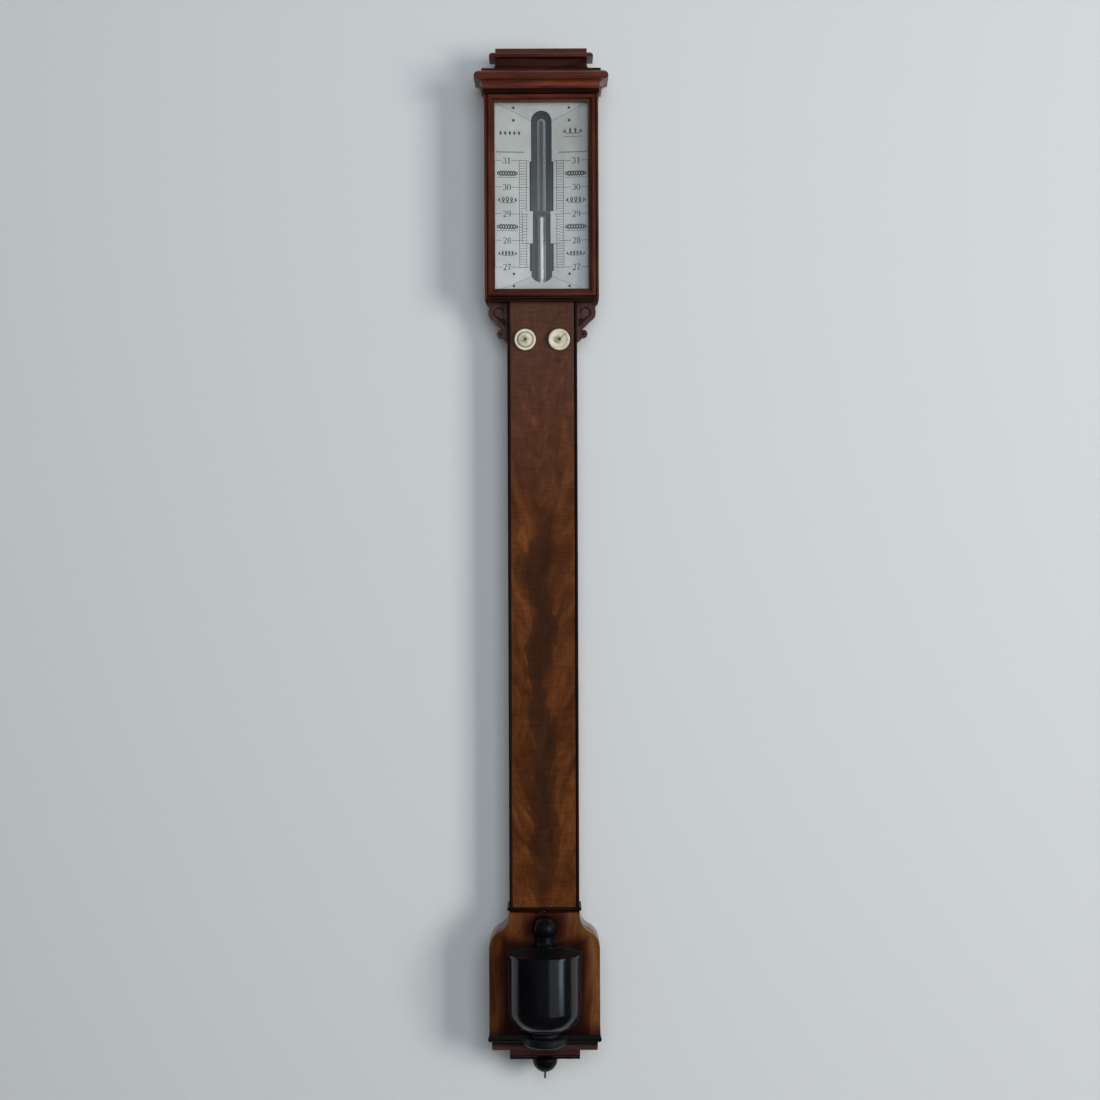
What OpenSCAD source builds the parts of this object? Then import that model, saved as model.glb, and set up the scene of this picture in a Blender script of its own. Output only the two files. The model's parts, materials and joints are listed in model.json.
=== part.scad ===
// Stick barometer: a mahogany wall case with a glazed head, a bone-keyed pair of verniers and a boxwood cistern
// The back lies on the wall at y = 0, the front faces -Y, and the hanging hole is at the origin

/* [Scale] */
// Highest inch line of the scale
scale_high = 31; // [30:1:33]
// Lowest inch line of the scale
scale_low = 27; // [26:1:28]
// Height of the mercury, in scale inches
reading = 29; // [28.6:0.1:29.4]
// Length of one scale inch
inch = 25.4; // [24:0.1:27]
// Sight height above the highest inch line
margin_top = 53.8; // [50:0.1:70]
// Sight height below the lowest inch line
margin_bottom = 21.9; // [20:0.1:35]

/* [Head] */
// Width of the head case
head_w = 108.2; // [104:0.1:130]
// Thickness of the head sides
head_side_t = 6; // [5:0.1:8]
// Depth of the head case behind the door
case_d = 34; // [33:0.1:40]
// Thickness of the lip beside the door
lip_t = 2.4; // [2:0.1:4]
// Wood of the lip in front of the door's pins
pin_wall = 0.7; // [0.5:0.1:1]
// Thickness of the lip under the door
floor_lip_t = 2.1; // [1.8:0.1:4]
// Thickness of the soffit board under the head
soffit_t = 2; // [1.5:0.1:4]
// Set-back of the soffit board from the head's sides
soffit_in = 3.1; // [2:0.1:6]
// Height of the rail below the register
head_rail_h = 5; // [3:0.1:6]
// Depth of the hanging hole below the top of the head
hole_drop = 12.4; // [11:0.1:20]

/* [Door] */
// Thickness of the door frame
door_t = 8.7; // [8.5:0.1:10.5]
// Width of the door frame
frame_w = 7.1; // [6.5:0.1:9]
// Radius of the bead on the door frame
frame_bead_r = 2.6; // [2:0.1:2.9]
// Step from the bead down to the inner edge of the frame
frame_step = 2.9; // [2:0.1:3.5]
// Thickness of the glass
glass_t = 2; // [1.5:0.1:2.5]
// Width of the rebate that holds the glass
rebate_w = 3.5; // [2.5:0.1:4]
// Distance from the front of the door to the glass
glass_setback = 5.4; // [4:0.1:5.5]
// Radius of the pivot pins
door_pin_r = 0.9; // [0.6:0.1:1.2]

/* [Cornice] */
// Distance from the wall to the back of the cornice
cornice_back = 12; // [0:0.5:16]
// Projection of the frieze past the head
frieze_p = 0.9; // [0:0.1:3]
// Height of the frieze
frieze_h = 3.9; // [3:0.1:8]
// Projection of the bead over the frieze
bead_p = 3.4; // [2:0.1:5]
// Height of the bead over the frieze
bead_h = 1.6; // [1:0.1:3]
// Height of the fillet over the bead
bead_fillet_h = 0.9; // [0.5:0.1:2]
// Projection of the foot of the cove
cove_p = 1.4; // [0.5:0.1:3]
// Radius of the cove
cove_r = 5; // [4:0.1:8]
// Height of the straight part under the cove
cove_foot_h = 0.7; // [0.5:0.1:2]
// Height of the fillet over the cove
cove_fillet_h = 0.9; // [0.5:0.1:2]
// Projection of the nosing past the cove
nosing_p = 3; // [0.5:0.1:4]
// Height of the nosing
nosing_h = 7.4; // [7:0.1:10]
// Radius of the nosing's upper edge
nosing_r = 6.3; // [3:0.1:6.5]
// Height of the slope above the nosing
slope_h = 0.9; // [0.5:0.1:4]
// Projection of the fillet above the slope
fillet_p = 2.4; // [1:0.1:4]
// Height of the fillet
fillet_h = 1.8; // [1:0.1:3]
// Set-back of the neck from the head
neck_in = 10.5; // [8:0.1:14]
// Height of the neck
neck_h = 12.6; // [9:0.1:18]
// Radius of the cove at the foot of the neck
neck_r = 4.5; // [2:0.1:6]
// Projection of the ovolo past the neck
ovolo_p = 5.9; // [5.5:0.1:8]
// Height of the ovolo
ovolo_h = 5; // [3:0.1:5.4]
// Set-back of the cap from the neck
cap_in = 0; // [0:0.1:3]
// Height of the cap
cap_h = 4.2; // [3:0.1:10]

/* [Register] */
// Thickness of the silvered plates
plate_t = 1; // [0.8:0.1:1.4]
// Plate hidden behind the door frame on each side
plate_overlap = 2.5; // [1.5:0.1:3]
// Least thickness of the wooden bed under the plates
bed_min = 0.8; // [0.6:0.1:2]
// Half width of the tube slot
slot_half = 9.9; // [9.8:0.1:11]
// Extra half width of the slot where the verniers run
slot_step = 1.5; // [1.5:0.1:2.5]
// Distance from the top of the sight to the top of the slot
slot_top_drop = 6.3; // [5:0.1:9]
// Distance from the foot of the slot to the foot of the sight
slot_foot_rise = 7.3; // [6:0.1:9]
// Rise of the round foot of the slot
slot_sag = 6; // [4:0.1:8]
// Height of the upper mitre at the slot
mitre_top = 18; // [15:0.5:22]
// Height of the lower mitre at the slot
mitre_foot = 15.5; // [13:0.5:18]
// Wall of the half-round trough behind the tube
trough_t = 0.6; // [0.4:0.1:0.8]
// Clearance between the tube and the trough behind it
trough_clear = 0.4; // [0.3:0.1:1]
// Radius of a plate screw's shank
plate_screw_r = 0.6; // [0.4:0.1:0.8]
// Radius of a plate screw's head
plate_screw_head_r = 1.2; // [1:0.1:1.6]

/* [Trunk] */
// Width of the trunk
trunk_w = 66.7; // [63:0.1:72]
// Thickness of the veneered front
trunk_front_t = 4; // [3:0.1:6]
// Width of the ebonised edge beads
edge_bead_w = 3.1; // [2:0.1:5]
// Depth of the ebonised edge beads
edge_bead_d = 9; // [6:0.1:12]
// Height of the bead at the foot of the trunk
foot_bead_h = 3.5; // [2:0.1:5]
// Projection of the bead at the foot of the trunk
foot_bead_p = 2; // [1:0.1:3]
// Step from the side of the head in to a scroll bracket
bracket_step = 1.1; // [0.5:0.1:3]
// Thickness of a scroll bracket
bracket_t = 10; // [6:0.1:14]
// Distance from the wall to the back of a bracket
bracket_back = 16; // [0:0.1:16]

/* [Base] */
// Width of the base
base_w = 105; // [100:0.1:112]
// Depth of the base
base_d = 42; // [41:0.1:50]
// Thickness of the base front
base_front_t = 6; // [4:0.1:6]
// Distance from the top of the base to the mercury level
level_drop = 72.4; // [66:0.1:80]
// Distance from the mercury level to the foot of the base
level_rise = 43.3; // [42:0.1:55]
// Radius of the hollow in the shoulders
shoulder_r = 17.8; // [15:0.1:22]
// Radius of the corners under the shoulders
corner_r = 17.6; // [15:0.1:22]
// Drop from the top of the base to the start of the shoulders
shoulder_drop = 2.2; // [0:0.1:4]
// Flare of the upper base moulding
flare_p = 1.25; // [0.5:0.05:3]
// Height of the upper base moulding
flare_h = 7; // [6:0.1:10]
// Set-back of the lower base moulding
plinth_in = 2.4; // [1:0.05:4]
// Height of the lower base moulding
plinth_h = 8.2; // [6:0.1:12]
// Radius of the lower moulding's edge
plinth_r = 2; // [1:0.1:4]
// Width of the foot block
foot_w = 66.8; // [50:0.1:80]
// Depth of the foot block in front of the boss
foot_margin = 0.5; // [0.2:0.1:4]
// Height of the foot block
foot_h = 10.5; // [8:0.1:16]
// Radius of the turned boss under the foot
boss_r = 11.9; // [8:0.1:12]
// Height of the straight part of the boss
boss_straight = 2.4; // [1:0.1:5]

/* [Cistern cover] */
// Radius of the half-turned cover
urn_r = 34.8; // [32:0.1:38]
// Lip of the cover's rim
urn_lip = 1.3; // [0.5:0.1:3]
// Height of the rim
urn_rim_h = 2; // [1:0.1:4]
// Wall of the cover
urn_wall = 4.3; // [3.5:0.1:6]
// Height of the cover's rim above the mercury level
urn_rim_rise = 35.7; // [34:0.1:37]
// Depth of the cover's round bottom below the mercury level
urn_bottom_drop = 37.5; // [36:0.1:39]
// Radius of the round bottom
urn_bottom_r = 20; // [15:0.5:24]
// Rise of the cover's sloped top
urn_slope_h = 5.5; // [3:0.1:7]
// Radius of the stem over the bottom
urn_stem_r = 13; // [8:0.1:15]
// Radius of the cover's foot
urn_foot_r = 21; // [17:0.1:26]
// Height of the cover's foot
urn_foot_h = 8; // [5:0.1:9]
// Height of the stem between bottom and foot
urn_stem_h = 8; // [7:0.1:9]
// Radius of the ball finial
ball_r = 11.6; // [10:0.1:13]
// Radius of the finial's neck
ball_neck_r = 8.7; // [6:0.1:9]
// Radius of the finial's flared foot
ball_foot_r = 13; // [12.5:0.1:15]
// Height of the finial's neck up to the ball
ball_neck_h = 9.6; // [7:0.1:10]

/* [Tube and cistern] */
// Outer radius of the glass tube
tube_r = 4.2; // [3.6:0.1:4.2]
// Bore radius of the glass tube
tube_bore_r = 2.8; // [2:0.1:3]
// Distance from the wall to the tube's axis
tube_d = 21.6; // [21:0.1:21.8]
// Distance from the tube to the front of the plank
tube_cover = 1.2; // [1:0.1:2]
// Distance from the top of the slot to the top of the tube
tube_top_drop = 5.7; // [4:0.1:10]
// Depth of the tube's open end in the mercury
tube_dip = 7; // [5:0.1:8]
// Outer radius of the cistern
cistern_r = 18; // [16.5:0.1:18]
// Wall of the cistern
cistern_wall = 3.5; // [3:0.1:4.5]
// Height of the cistern above the mercury level
cistern_rise = 14; // [12:0.1:18]
// Depth of the cistern below the mercury level
cistern_drop = 11; // [10:0.1:12]
// Thickness of the cistern's cap
cap_t = 5; // [4:0.1:6]
// Height of the collar on the cap
collar_h = 6; // [5:0.1:8]
// Thickness of the leather
leather_t = 1; // [0.6:0.1:1.2]
// Depth of the leather bag under the cistern
bag_h = 9; // [8.5:0.1:10]
// Height of the ring that clamps the bag
ring_h = 4; // [3:0.1:5]

/* [Vernier drive] */
// Distance of each key from the middle of the trunk
key_x = 16.2; // [16:0.1:18]
// Distance of the keys below the head
key_drop = 35.9; // [30:0.1:45]
// Module of the rack and pinion teeth
tooth_m = 0.6; // [0.5:0.05:0.6]
// Teeth on each pinion
pinion_teeth = 10; // [10:1:11]
// Thickness of racks and pinions
rack_t = 4; // [3:0.1:4]
// Travel of the verniers above the reading
travel_up = 50; // [40:0.1:50]
// Travel of the verniers below the reading
travel_down = 25.4; // [20:0.1:26]
// Radius of a key's bone disc
disc_r = 10.25; // [8:0.05:12]
// Thickness of a key's bone disc
disc_t = 5; // [4:0.1:8]
// Radius of a key's arbor
arbor_r = 1.5; // [1.2:0.1:1.8]
// Outer radius of a key's bush
bush_r = 3.2; // [2.6:0.1:4]
// Width of the vernier plates
vernier_w = 9.4; // [8.5:0.1:10]
// Height of the vernier plates under the reading edge
vernier_h = 28; // [24:0.1:28]
// Thickness of the vernier plates
vernier_t = 0.8; // [0.5:0.1:1]
// Height of the sighting bars
sight_bar_h = 2.6; // [2:0.1:4]

/* [Portable screw] */
// Radius of the portable screw
screw_r = 3; // [2.5:0.1:3.5]
// Radius of the screw's lower shank
shank_r = 1.5; // [1.4:0.1:2]
// Width of the square end of the screw
square_w = 2; // [1.6:0.1:2]
// Length of the square end below the boss
square_l = 6.1; // [4:0.1:12]
// Travel of the portable screw
screw_rise = 7; // [5:0.1:7]
// Radius of the pusher under the leather bag
pusher_r = 9; // [7:0.1:10]
// Thickness of the pusher
pusher_t = 5; // [4:0.1:6]
// Outer radius of the screw's bush
nut_r = 6; // [5:0.1:8]
// Length of the screw's bush
nut_l = 9; // [6:0.1:9]

/* [Hanging plate] */
// Radius of the hanging hole
hang_r = 4; // [3:0.1:5]
// Width of the hanging plate
hang_w = 26; // [24:0.1:34]
// Length of the hanging plate below the hole
hang_h = 24; // [22:0.1:40]
// Thickness of the hanging plate
hang_t = 2; // [1.5:0.1:3]
// Depth of the pocket behind the hole
pocket_d = 8; // [6:0.1:10]
// Radius of a wood screw's shank
wood_screw_r = 1.5; // [1:0.1:2]

/* [Clearances] */
// Gap between pieces that move past each other
move_gap = 0.3; // [0.3:0.05:0.5]
// Gap behind the closed door, so that its hinge edge can swing
rest_gap = 0.9; // [0.8:0.05:1.5]
// Radial gap of turning fits
turn_gap = 0.05; // [0.03:0.01:0.1]
// Gap round pieces that lie in a pocket
lay_gap = 0.2; // [0.1:0.05:0.3]

/* [Hidden] */
$fn = 64;
far = 400;

// Widths and depths of the case
head_half = head_w / 2;
inner_half = head_half - head_side_t;
trunk_half = trunk_w / 2;
bracket_w = head_half - trunk_half - bracket_step;
base_half = base_w / 2;
board_t = tube_d + tube_r + tube_cover;
trunk_d = board_t + trunk_front_t;
foot_d = tube_d + boss_r + foot_margin;
door_back = case_d + rest_gap;
door_front = door_back + door_t;
lip_end = door_front - frame_bead_r + door_pin_r + pin_wall;
door_half = head_half - lip_t - move_gap;
sight_half = door_half - frame_w;
mitre_shift = head_half - door_front;
base_back_d = base_d - base_front_t;
base_shift = base_half - base_d;
flare_r = flare_h / 2 - 0.5;

// Heights, from the top of the head down to the foot
z_head_top = hole_drop;
z_door_top = z_head_top - move_gap;
z_sight_top = z_door_top - frame_w;
z_scale_high = z_sight_top - margin_top;
z_scale_low = z_scale_high - (scale_high - scale_low) * inch;
z_sight_foot = z_scale_low - margin_bottom;
z_door_foot = z_sight_foot - frame_w;
z_head_foot = z_door_foot - move_gap - floor_lip_t;
z_soffit = z_head_foot - soffit_t;
z_key = z_soffit - key_drop;
z_mercury = z_scale_high - (scale_high - reading) * inch;
z_level = z_scale_high - scale_high * inch;
z_base_top = z_level + level_drop;
z_base_foot = z_level - level_rise;
z_flare_foot = z_base_foot - flare_h;
z_plinth_foot = z_flare_foot - plinth_h;
z_foot = z_plinth_foot - foot_h;
z_boss_foot = z_foot - boss_straight - boss_r;
z_square_foot = z_boss_foot - square_l;

// Cornice levels and half widths
z_frieze_top = z_head_top + frieze_h + bead_h + bead_fillet_h;
z_cove_foot = z_frieze_top + cove_foot_h;
z_cove_top = z_cove_foot + cove_r + cove_fillet_h;
z_nosing_top = z_cove_top + nosing_h;
z_slope_top = z_nosing_top + slope_h;
z_fillet_top = z_slope_top + fillet_h;
z_neck_top = z_fillet_top + neck_h;
z_ovolo_top = z_neck_top + ovolo_h;
frieze_half = head_half + frieze_p;
bead_half = head_half + bead_p;
cove_half = head_half + cove_p;
nosing_half = cove_half + cove_r + nosing_p;
fillet_half = head_half + fillet_p;
neck_half = head_half - neck_in;
ovolo_half = neck_half + ovolo_p;
cap_half = neck_half - cap_in;

// Register: plates slope from their outer edge in towards the slot
z_slot_top = z_sight_top - slot_top_drop;
z_slot_foot = z_sight_foot + slot_foot_rise;
wide_half = slot_half + slot_step;
plate_half = sight_half + plate_overlap;
z_plate_top = z_sight_top + plate_overlap;
z_plate_foot = z_sight_foot - plate_overlap;
plate_edge_d = case_d - 2 * move_gap;
plate_slot_d = board_t + bed_min + plate_t;
plate_slope = (plate_edge_d - plate_slot_d) / (plate_half - slot_half);
cant = atan(plate_slope);
cant_top = atan((plate_edge_d - plate_slot_d) / mitre_top);
cant_foot = atan((plate_edge_d - plate_slot_d) / mitre_foot);
z_bed_top = z_head_top;
z_bed_foot = z_head_foot + head_rail_h;
slot_sag_r = (slot_half * slot_half + slot_sag * slot_sag) / (2 * slot_sag);
trough_out = slot_half - move_gap;
trough_in = trough_out - trough_t;
trough_d = tube_d - tube_r - trough_clear + trough_in;
trough_front = plate_slot_d - plate_t;
screw_edge = 20.3;
side_screw_drop = 15.5;
spandrel_screw_drop = 6.2;
plate_screw_l = 5;
plate_screw_head_t = 0.6;

// Rack and pinion
pitch_r = tooth_m * pinion_teeth / 2;
tooth_pitch = PI * tooth_m;
pinion_tip = pitch_r + 0.9 * tooth_m;
pinion_root = pitch_r - 1.1 * tooth_m;
rack_tip = 0.55 * tooth_m;
rack_root = 1.05 * tooth_m;
backlash = 0.12;
pressure = 20;
rack_line = key_x - pitch_r;
rack_inner = slot_half + move_gap;
rack_front = board_t - move_gap;
rack_back = rack_front - rack_t;
rack_margin = 6;
z_rack_foot = z_key - travel_up - rack_margin;
z_rack_top = z_mercury;
foot_strip_in = slot_half + 0.2;
foot_strip_out = wide_half - move_gap;
foot_strip_h = vernier_h - 2;
vernier_in = slot_half - slot_step;
channel_in = trough_in - 0.4;
channel_out = rack_line + rack_tip + move_gap;
channel_foot = z_rack_foot - travel_down - rack_margin;
channel_top = z_rack_top + travel_up + rack_margin;
disc_back = trunk_d + move_gap;
disc_front = disc_back + disc_t;
arbor_back = rack_back - 4;

// Tube, cistern and portable screw
z_tube_top = z_slot_top - tube_top_drop;
z_tube_end = z_level - tube_dip;
z_cistern_top = z_level + cistern_rise;
z_cistern_foot = z_level - cistern_drop;
z_cap_top = z_cistern_top + cap_t;
z_collar_top = z_cap_top + collar_h;
z_ring_foot = z_cistern_foot - leather_t - ring_h;
z_bag_foot = z_cistern_foot - leather_t - bag_h;
z_pusher_top = z_bag_foot - move_gap;
z_pusher_foot = z_pusher_top - pusher_t;
cistern_bore = cistern_r - cistern_wall;
bag_r = cistern_bore - 2.2;
bag_corner = 5;
packing_r = tube_r + 2;
collar_r = packing_r + 2.5;
recess_r = cistern_r + 0.6;
recess_top = z_collar_top + 4;
well_r = bag_r + 1;
groove_r = tube_r + 0.5;
pivot_r = screw_r - 1;
pivot_l = 3;
z_nut_top = z_base_foot + nut_l;
z_shank_top = z_base_foot - 1;

// Half-turned cover
z_rim = z_level + urn_rim_rise;
z_urn_bottom = z_level - urn_bottom_drop;
z_urn_foot_top = z_urn_bottom - urn_stem_h + 1;
z_urn_foot = z_urn_foot_top - urn_foot_h;
z_urn_top = z_rim + urn_slope_h;
z_ball = z_urn_top + ball_neck_h + sqrt(ball_r * ball_r - ball_neck_r * ball_neck_r);
urn_in = urn_r - urn_wall;
pin_r = 1.2;
pin_l = 5;
pin_x = urn_r - urn_wall / 2;
cover_pin_z = [z_level + 20, z_level - 8];

// Packing and screws
cork_h = 12;
cork_share = [0.26, 0.61, 0.93];
cork_z = [for (share = cork_share) z_key - share * (z_key - z_base_top)];
lap_l = 24;
lap_t = 9;
lap_half = trunk_half - 8;
hang_screw_z = [5 - hang_h, 15 - hang_h];
hang_eye_r = hang_r + 3.5;

// Door pivots on the centre of the left stile's bead
pivot_x = -(door_half - frame_bead_r);
pivot_d = door_front - frame_bead_r;
pin_in_door = 6;
pin_out = floor_lip_t - 0.5;

function plate_d(x) = plate_edge_d - plate_slope * (plate_half - abs(x));

// Drawing helpers: depth is measured from the wall towards the viewer
module xz_prism(d0, d1) {
    translate([0, -d0, 0]) rotate([90, 0, 0]) linear_extrude(height = d1 - d0) children();
}

module yz_prism(x0, x1) {
    translate([x0, 0, 0]) rotate([90, 0, 90]) linear_extrude(height = x1 - x0) mirror([1, 0]) children();
}

module xy_prism(z0, z1) {
    translate([0, 0, z0]) linear_extrude(height = z1 - z0) mirror([0, 1]) children();
}

module bar(x0, x1, d0, d1, z0, z1) {
    translate([x0, -d1, z0]) cube([x1 - x0, d1 - d0, z1 - z0]);
}

module rod_y(x, z, d0, d1, r) {
    translate([x, -d0, z]) rotate([90, 0, 0]) cylinder(r = r, h = d1 - d0);
}

module rod_z(x, d, z0, z1, r) {
    translate([x, -d, z0]) cylinder(r = r, h = z1 - z0);
}

module left_side() {
    mirror([1, 0, 0]) children();
}

module both_sides() {
    children();
    mirror([1, 0, 0]) children();
}

module strip(x, z, w, h) {
    translate([x, z]) square([w, h]);
}

// A moulding mitred round three sides: its half profile is cut across the front and along both sides
module three_sided(shift, back = 0) {
    intersection() {
        xz_prism(back, far) {
            children();
            mirror([1, 0]) children();
        }
        yz_prism(-far, far) intersection() {
            translate([-shift, 0]) children();
            strip(0, -3 * far, far, 4 * far);
        }
    }
}

// Case
module tube_groove(z0, z1) {
    rod_z(0, tube_d, z0, z1, groove_r);
    bar(-groove_r, groove_r, tube_d, far, z0, z1);
}

module rack_channels() {
    both_sides() {
        bar(channel_in, channel_out, rack_back - move_gap, far, channel_foot, channel_top);
        rod_y(key_x, z_key, rack_back - move_gap, far, pinion_tip + 2 * move_gap);
        rod_y(key_x, z_key, arbor_back - move_gap, far, arbor_r + turn_gap);
    }
}

module trough_groove(grow) {
    hollow_r = trough_out + grow;
    rod_z(0, trough_d, z_slot_foot - 2, z_slot_top - slot_half, hollow_r);
    translate([0, -trough_d, z_slot_top - slot_half]) sphere(r = hollow_r);
    bar(-hollow_r, hollow_r, trough_d, far, z_slot_foot - 2, z_slot_top - slot_half);
    rod_y(0, z_slot_top - slot_half, trough_d, far, hollow_r);
}

module backboard() {
    color("saddlebrown") difference() {
        union() {
            bar(-inner_half, inner_half, 0, board_t, z_head_foot, z_head_top);
            bar(-trunk_half, trunk_half, 0, board_t, z_base_top, z_head_foot + 1);
            bar(-lap_half, lap_half, 0, lap_t, z_base_top - lap_l, z_base_top);
        }
        both_sides() bar(trunk_half - edge_bead_w, far, trunk_d - edge_bead_d, far, z_base_top - 1, z_soffit);
        tube_groove(z_base_top - 1, z_slot_foot);
        trough_groove(lay_gap);
        rack_channels();
        plate_screw_holes();
        xz_prism(-1, hang_t) hang_outline(lay_gap);
        rod_y(0, 0, 0, hang_t + pocket_d, hang_r + 2);
        wood_screws(turn_gap);
    }
}

module hang_outline(grow) {
    strip(-hang_w / 2 - grow, -hang_h - grow, hang_w + 2 * grow, hang_h - hang_eye_r / 2 + 2 * grow);
    strip(-hang_eye_r - grow, -hang_h, 2 * hang_eye_r + 2 * grow, hang_h);
    circle(r = hang_eye_r + grow);
}

// Countersunk wood screws, driven in from the back
module wood_screws(grow) {
    for (z = hang_screw_z)
        for (x = [-hang_w / 2 + 5, hang_w / 2 - 5])
            translate([x, 0, z]) rotate([90, 0, 0]) {
                cylinder(r = wood_screw_r + grow, h = hang_t + 11);
                cylinder(r1 = 2 * wood_screw_r + grow, r2 = wood_screw_r + grow, h = wood_screw_r);
            }
}

module head_side() {
    xy_prism(z_head_foot, z_head_top) {
        strip(inner_half, 0, head_side_t, case_d);
        strip(head_half - lip_t, 0, lip_t, lip_end - lip_t / 2);
        translate([head_half - lip_t / 2, lip_end - lip_t / 2]) circle(d = lip_t);
    }
}

module head_side_left() {
    color("sienna") left_side() head_side();
}

module head_side_right() {
    color("sienna") head_side();
}

module head_floor() {
    color("sienna") difference() {
        union() {
            bar(-inner_half, inner_half, board_t, case_d, z_head_foot, z_bed_foot);
            bar(-head_half + lip_t, head_half - lip_t, case_d, lip_end - floor_lip_t / 2, z_head_foot,
                z_head_foot + floor_lip_t);
            translate([-head_half + lip_t, -lip_end + floor_lip_t / 2, z_head_foot + floor_lip_t / 2])
                rotate([0, 90, 0]) cylinder(d = floor_lip_t, h = head_w - 2 * lip_t);
        }
        rod_z(pivot_x, pivot_d, z_head_foot + floor_lip_t - pin_out - 0.2, z_door_foot, door_pin_r + turn_gap);
    }
}

// A thin board under the head, cut out round the plank
module head_soffit() {
    soffit_half = head_half - soffit_in;
    color("sienna") difference() {
        bar(-soffit_half, soffit_half, 0, lip_end - 1.5 * soffit_in, z_soffit, z_head_foot);
        bar(-trunk_half, trunk_half, -1, board_t, z_soffit - 1, z_head_foot + 1);
    }
}

module frieze_profile() {
    strip(0, z_head_top, frieze_half, frieze_h + bead_h + bead_fillet_h);
    strip(0, z_head_top + frieze_h, bead_half - bead_h / 2, bead_h);
    translate([bead_half - bead_h / 2, z_head_top + frieze_h + bead_h / 2]) circle(d = bead_h);
}

module frieze_moulding() {
    color("sienna") difference() {
        three_sided(mitre_shift, cornice_back) frieze_profile();
        rod_z(pivot_x, pivot_d, z_head_top - 1, z_head_top + pin_out + 0.2, door_pin_r + turn_gap);
    }
}

module nosing_profile() {
    strip(0, z_frieze_top, cove_half, cove_foot_h);
    difference() {
        strip(0, z_cove_foot, cove_half + cove_r, cove_r);
        translate([cove_half + cove_r, z_cove_foot]) circle(r = cove_r);
    }
    strip(0, z_cove_foot + cove_r, cove_half + cove_r + cove_fillet_h, cove_fillet_h);
    strip(0, z_cove_top, nosing_half, nosing_h - nosing_r);
    strip(0, z_cove_top, nosing_half - nosing_r, nosing_h);
    translate([nosing_half - nosing_r, z_nosing_top - nosing_r]) intersection() {
        circle(r = nosing_r);
        square(nosing_r);
    }
    polygon([
        [0, z_nosing_top],
        [nosing_half - nosing_r, z_nosing_top],
        [fillet_half, z_slope_top],
        [0, z_slope_top]
    ]);
}

module cornice_nosing() {
    color("brown") three_sided(mitre_shift, cornice_back) nosing_profile();
}

module neck_profile() {
    strip(0, z_slope_top, fillet_half, fillet_h);
    strip(0, z_fillet_top, neck_half, neck_h);
    difference() {
        strip(0, z_fillet_top, neck_half + neck_r, neck_r);
        translate([neck_half + neck_r, z_fillet_top + neck_r]) circle(r = neck_r);
    }
}

module cornice_neck() {
    color("sienna") three_sided(mitre_shift, cornice_back) neck_profile();
}

module cap_profile() {
    strip(0, z_neck_top, ovolo_half - ovolo_h, ovolo_h);
    translate([ovolo_half - ovolo_h, z_neck_top]) intersection() {
        circle(r = ovolo_h);
        square(ovolo_h);
    }
    strip(0, z_ovolo_top, cap_half, cap_h);
}

module cornice_cap() {
    color("brown") three_sided(mitre_shift, cornice_back) cap_profile();
}

// Register
module slot_shape(grow) {
    z_foot_centre = z_slot_foot + slot_sag_r - grow;
    translate([0, z_slot_top - slot_half]) circle(r = slot_half + grow);
    strip(-slot_half - grow, z_slot_foot + slot_sag - grow, 2 * slot_half + 2 * grow,
        z_slot_top - slot_half - z_slot_foot - slot_sag + grow);
    intersection() {
        translate([0, z_foot_centre]) circle(r = slot_sag_r);
        strip(-slot_half - grow, z_slot_foot - grow, 2 * slot_half + 2 * grow, slot_sag);
    }
    strip(-wide_half - grow, z_scale_low - 3.5 - grow, 2 * wide_half + 2 * grow,
        z_scale_high - z_scale_low + 3.1 + 2 * grow);
}

module side_plane(z0, z1, front, back) {
    xy_prism(z0, z1) polygon([
        [slot_half, plate_slot_d - back],
        [slot_half, plate_slot_d - front],
        [plate_half, plate_edge_d - front],
        [plate_half, plate_edge_d - back]
    ]);
}

module end_plane(z_edge, z_in, front, back) {
    yz_prism(-plate_half, plate_half) polygon([
        [plate_slot_d - back, z_in],
        [plate_slot_d - front, z_in],
        [plate_edge_d - front, z_edge],
        [plate_edge_d - back, z_edge]
    ]);
}

module register_bed() {
    bed_half = inner_half - lay_gap;
    flat_d = plate_edge_d - plate_t;
    color("peru") difference() {
        union() {
            both_sides() xy_prism(z_bed_foot, z_bed_top) polygon([
                [slot_half, board_t],
                [slot_half, plate_slot_d - plate_t],
                [plate_half, flat_d],
                [bed_half, flat_d],
                [bed_half, board_t]
            ]);
            yz_prism(-bed_half, bed_half) polygon([
                [board_t, z_plate_top - mitre_top],
                [plate_slot_d - plate_t, z_plate_top - mitre_top],
                [flat_d, z_plate_top],
                [flat_d, z_bed_top],
                [board_t, z_bed_top]
            ]);
            yz_prism(-bed_half, bed_half) polygon([
                [board_t, z_plate_foot + mitre_foot],
                [plate_slot_d - plate_t, z_plate_foot + mitre_foot],
                [flat_d, z_plate_foot],
                [flat_d, z_bed_foot],
                [board_t, z_bed_foot]
            ]);
        }
        xz_prism(0, far) slot_shape(lay_gap);
        plate_screw_holes();
    }
}

module tube_trough() {
    color("dimgray") difference() {
        intersection() {
            trough_groove(0);
            union() {
                bar(-far, far, 0, board_t, z_slot_foot, z_slot_top);
                xz_prism(0, trough_front) slot_shape(0);
            }
        }
        rod_z(0, trough_d, z_slot_foot - 3, z_slot_top - slot_half, trough_in);
        translate([0, -trough_d, z_slot_top - slot_half]) sphere(r = trough_in);
        bar(-trough_in, trough_in, trough_d, far, z_slot_foot - 3, z_slot_top - slot_half);
        rod_y(0, z_slot_top - slot_half, trough_d, far, trough_in);
    }
}

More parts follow.
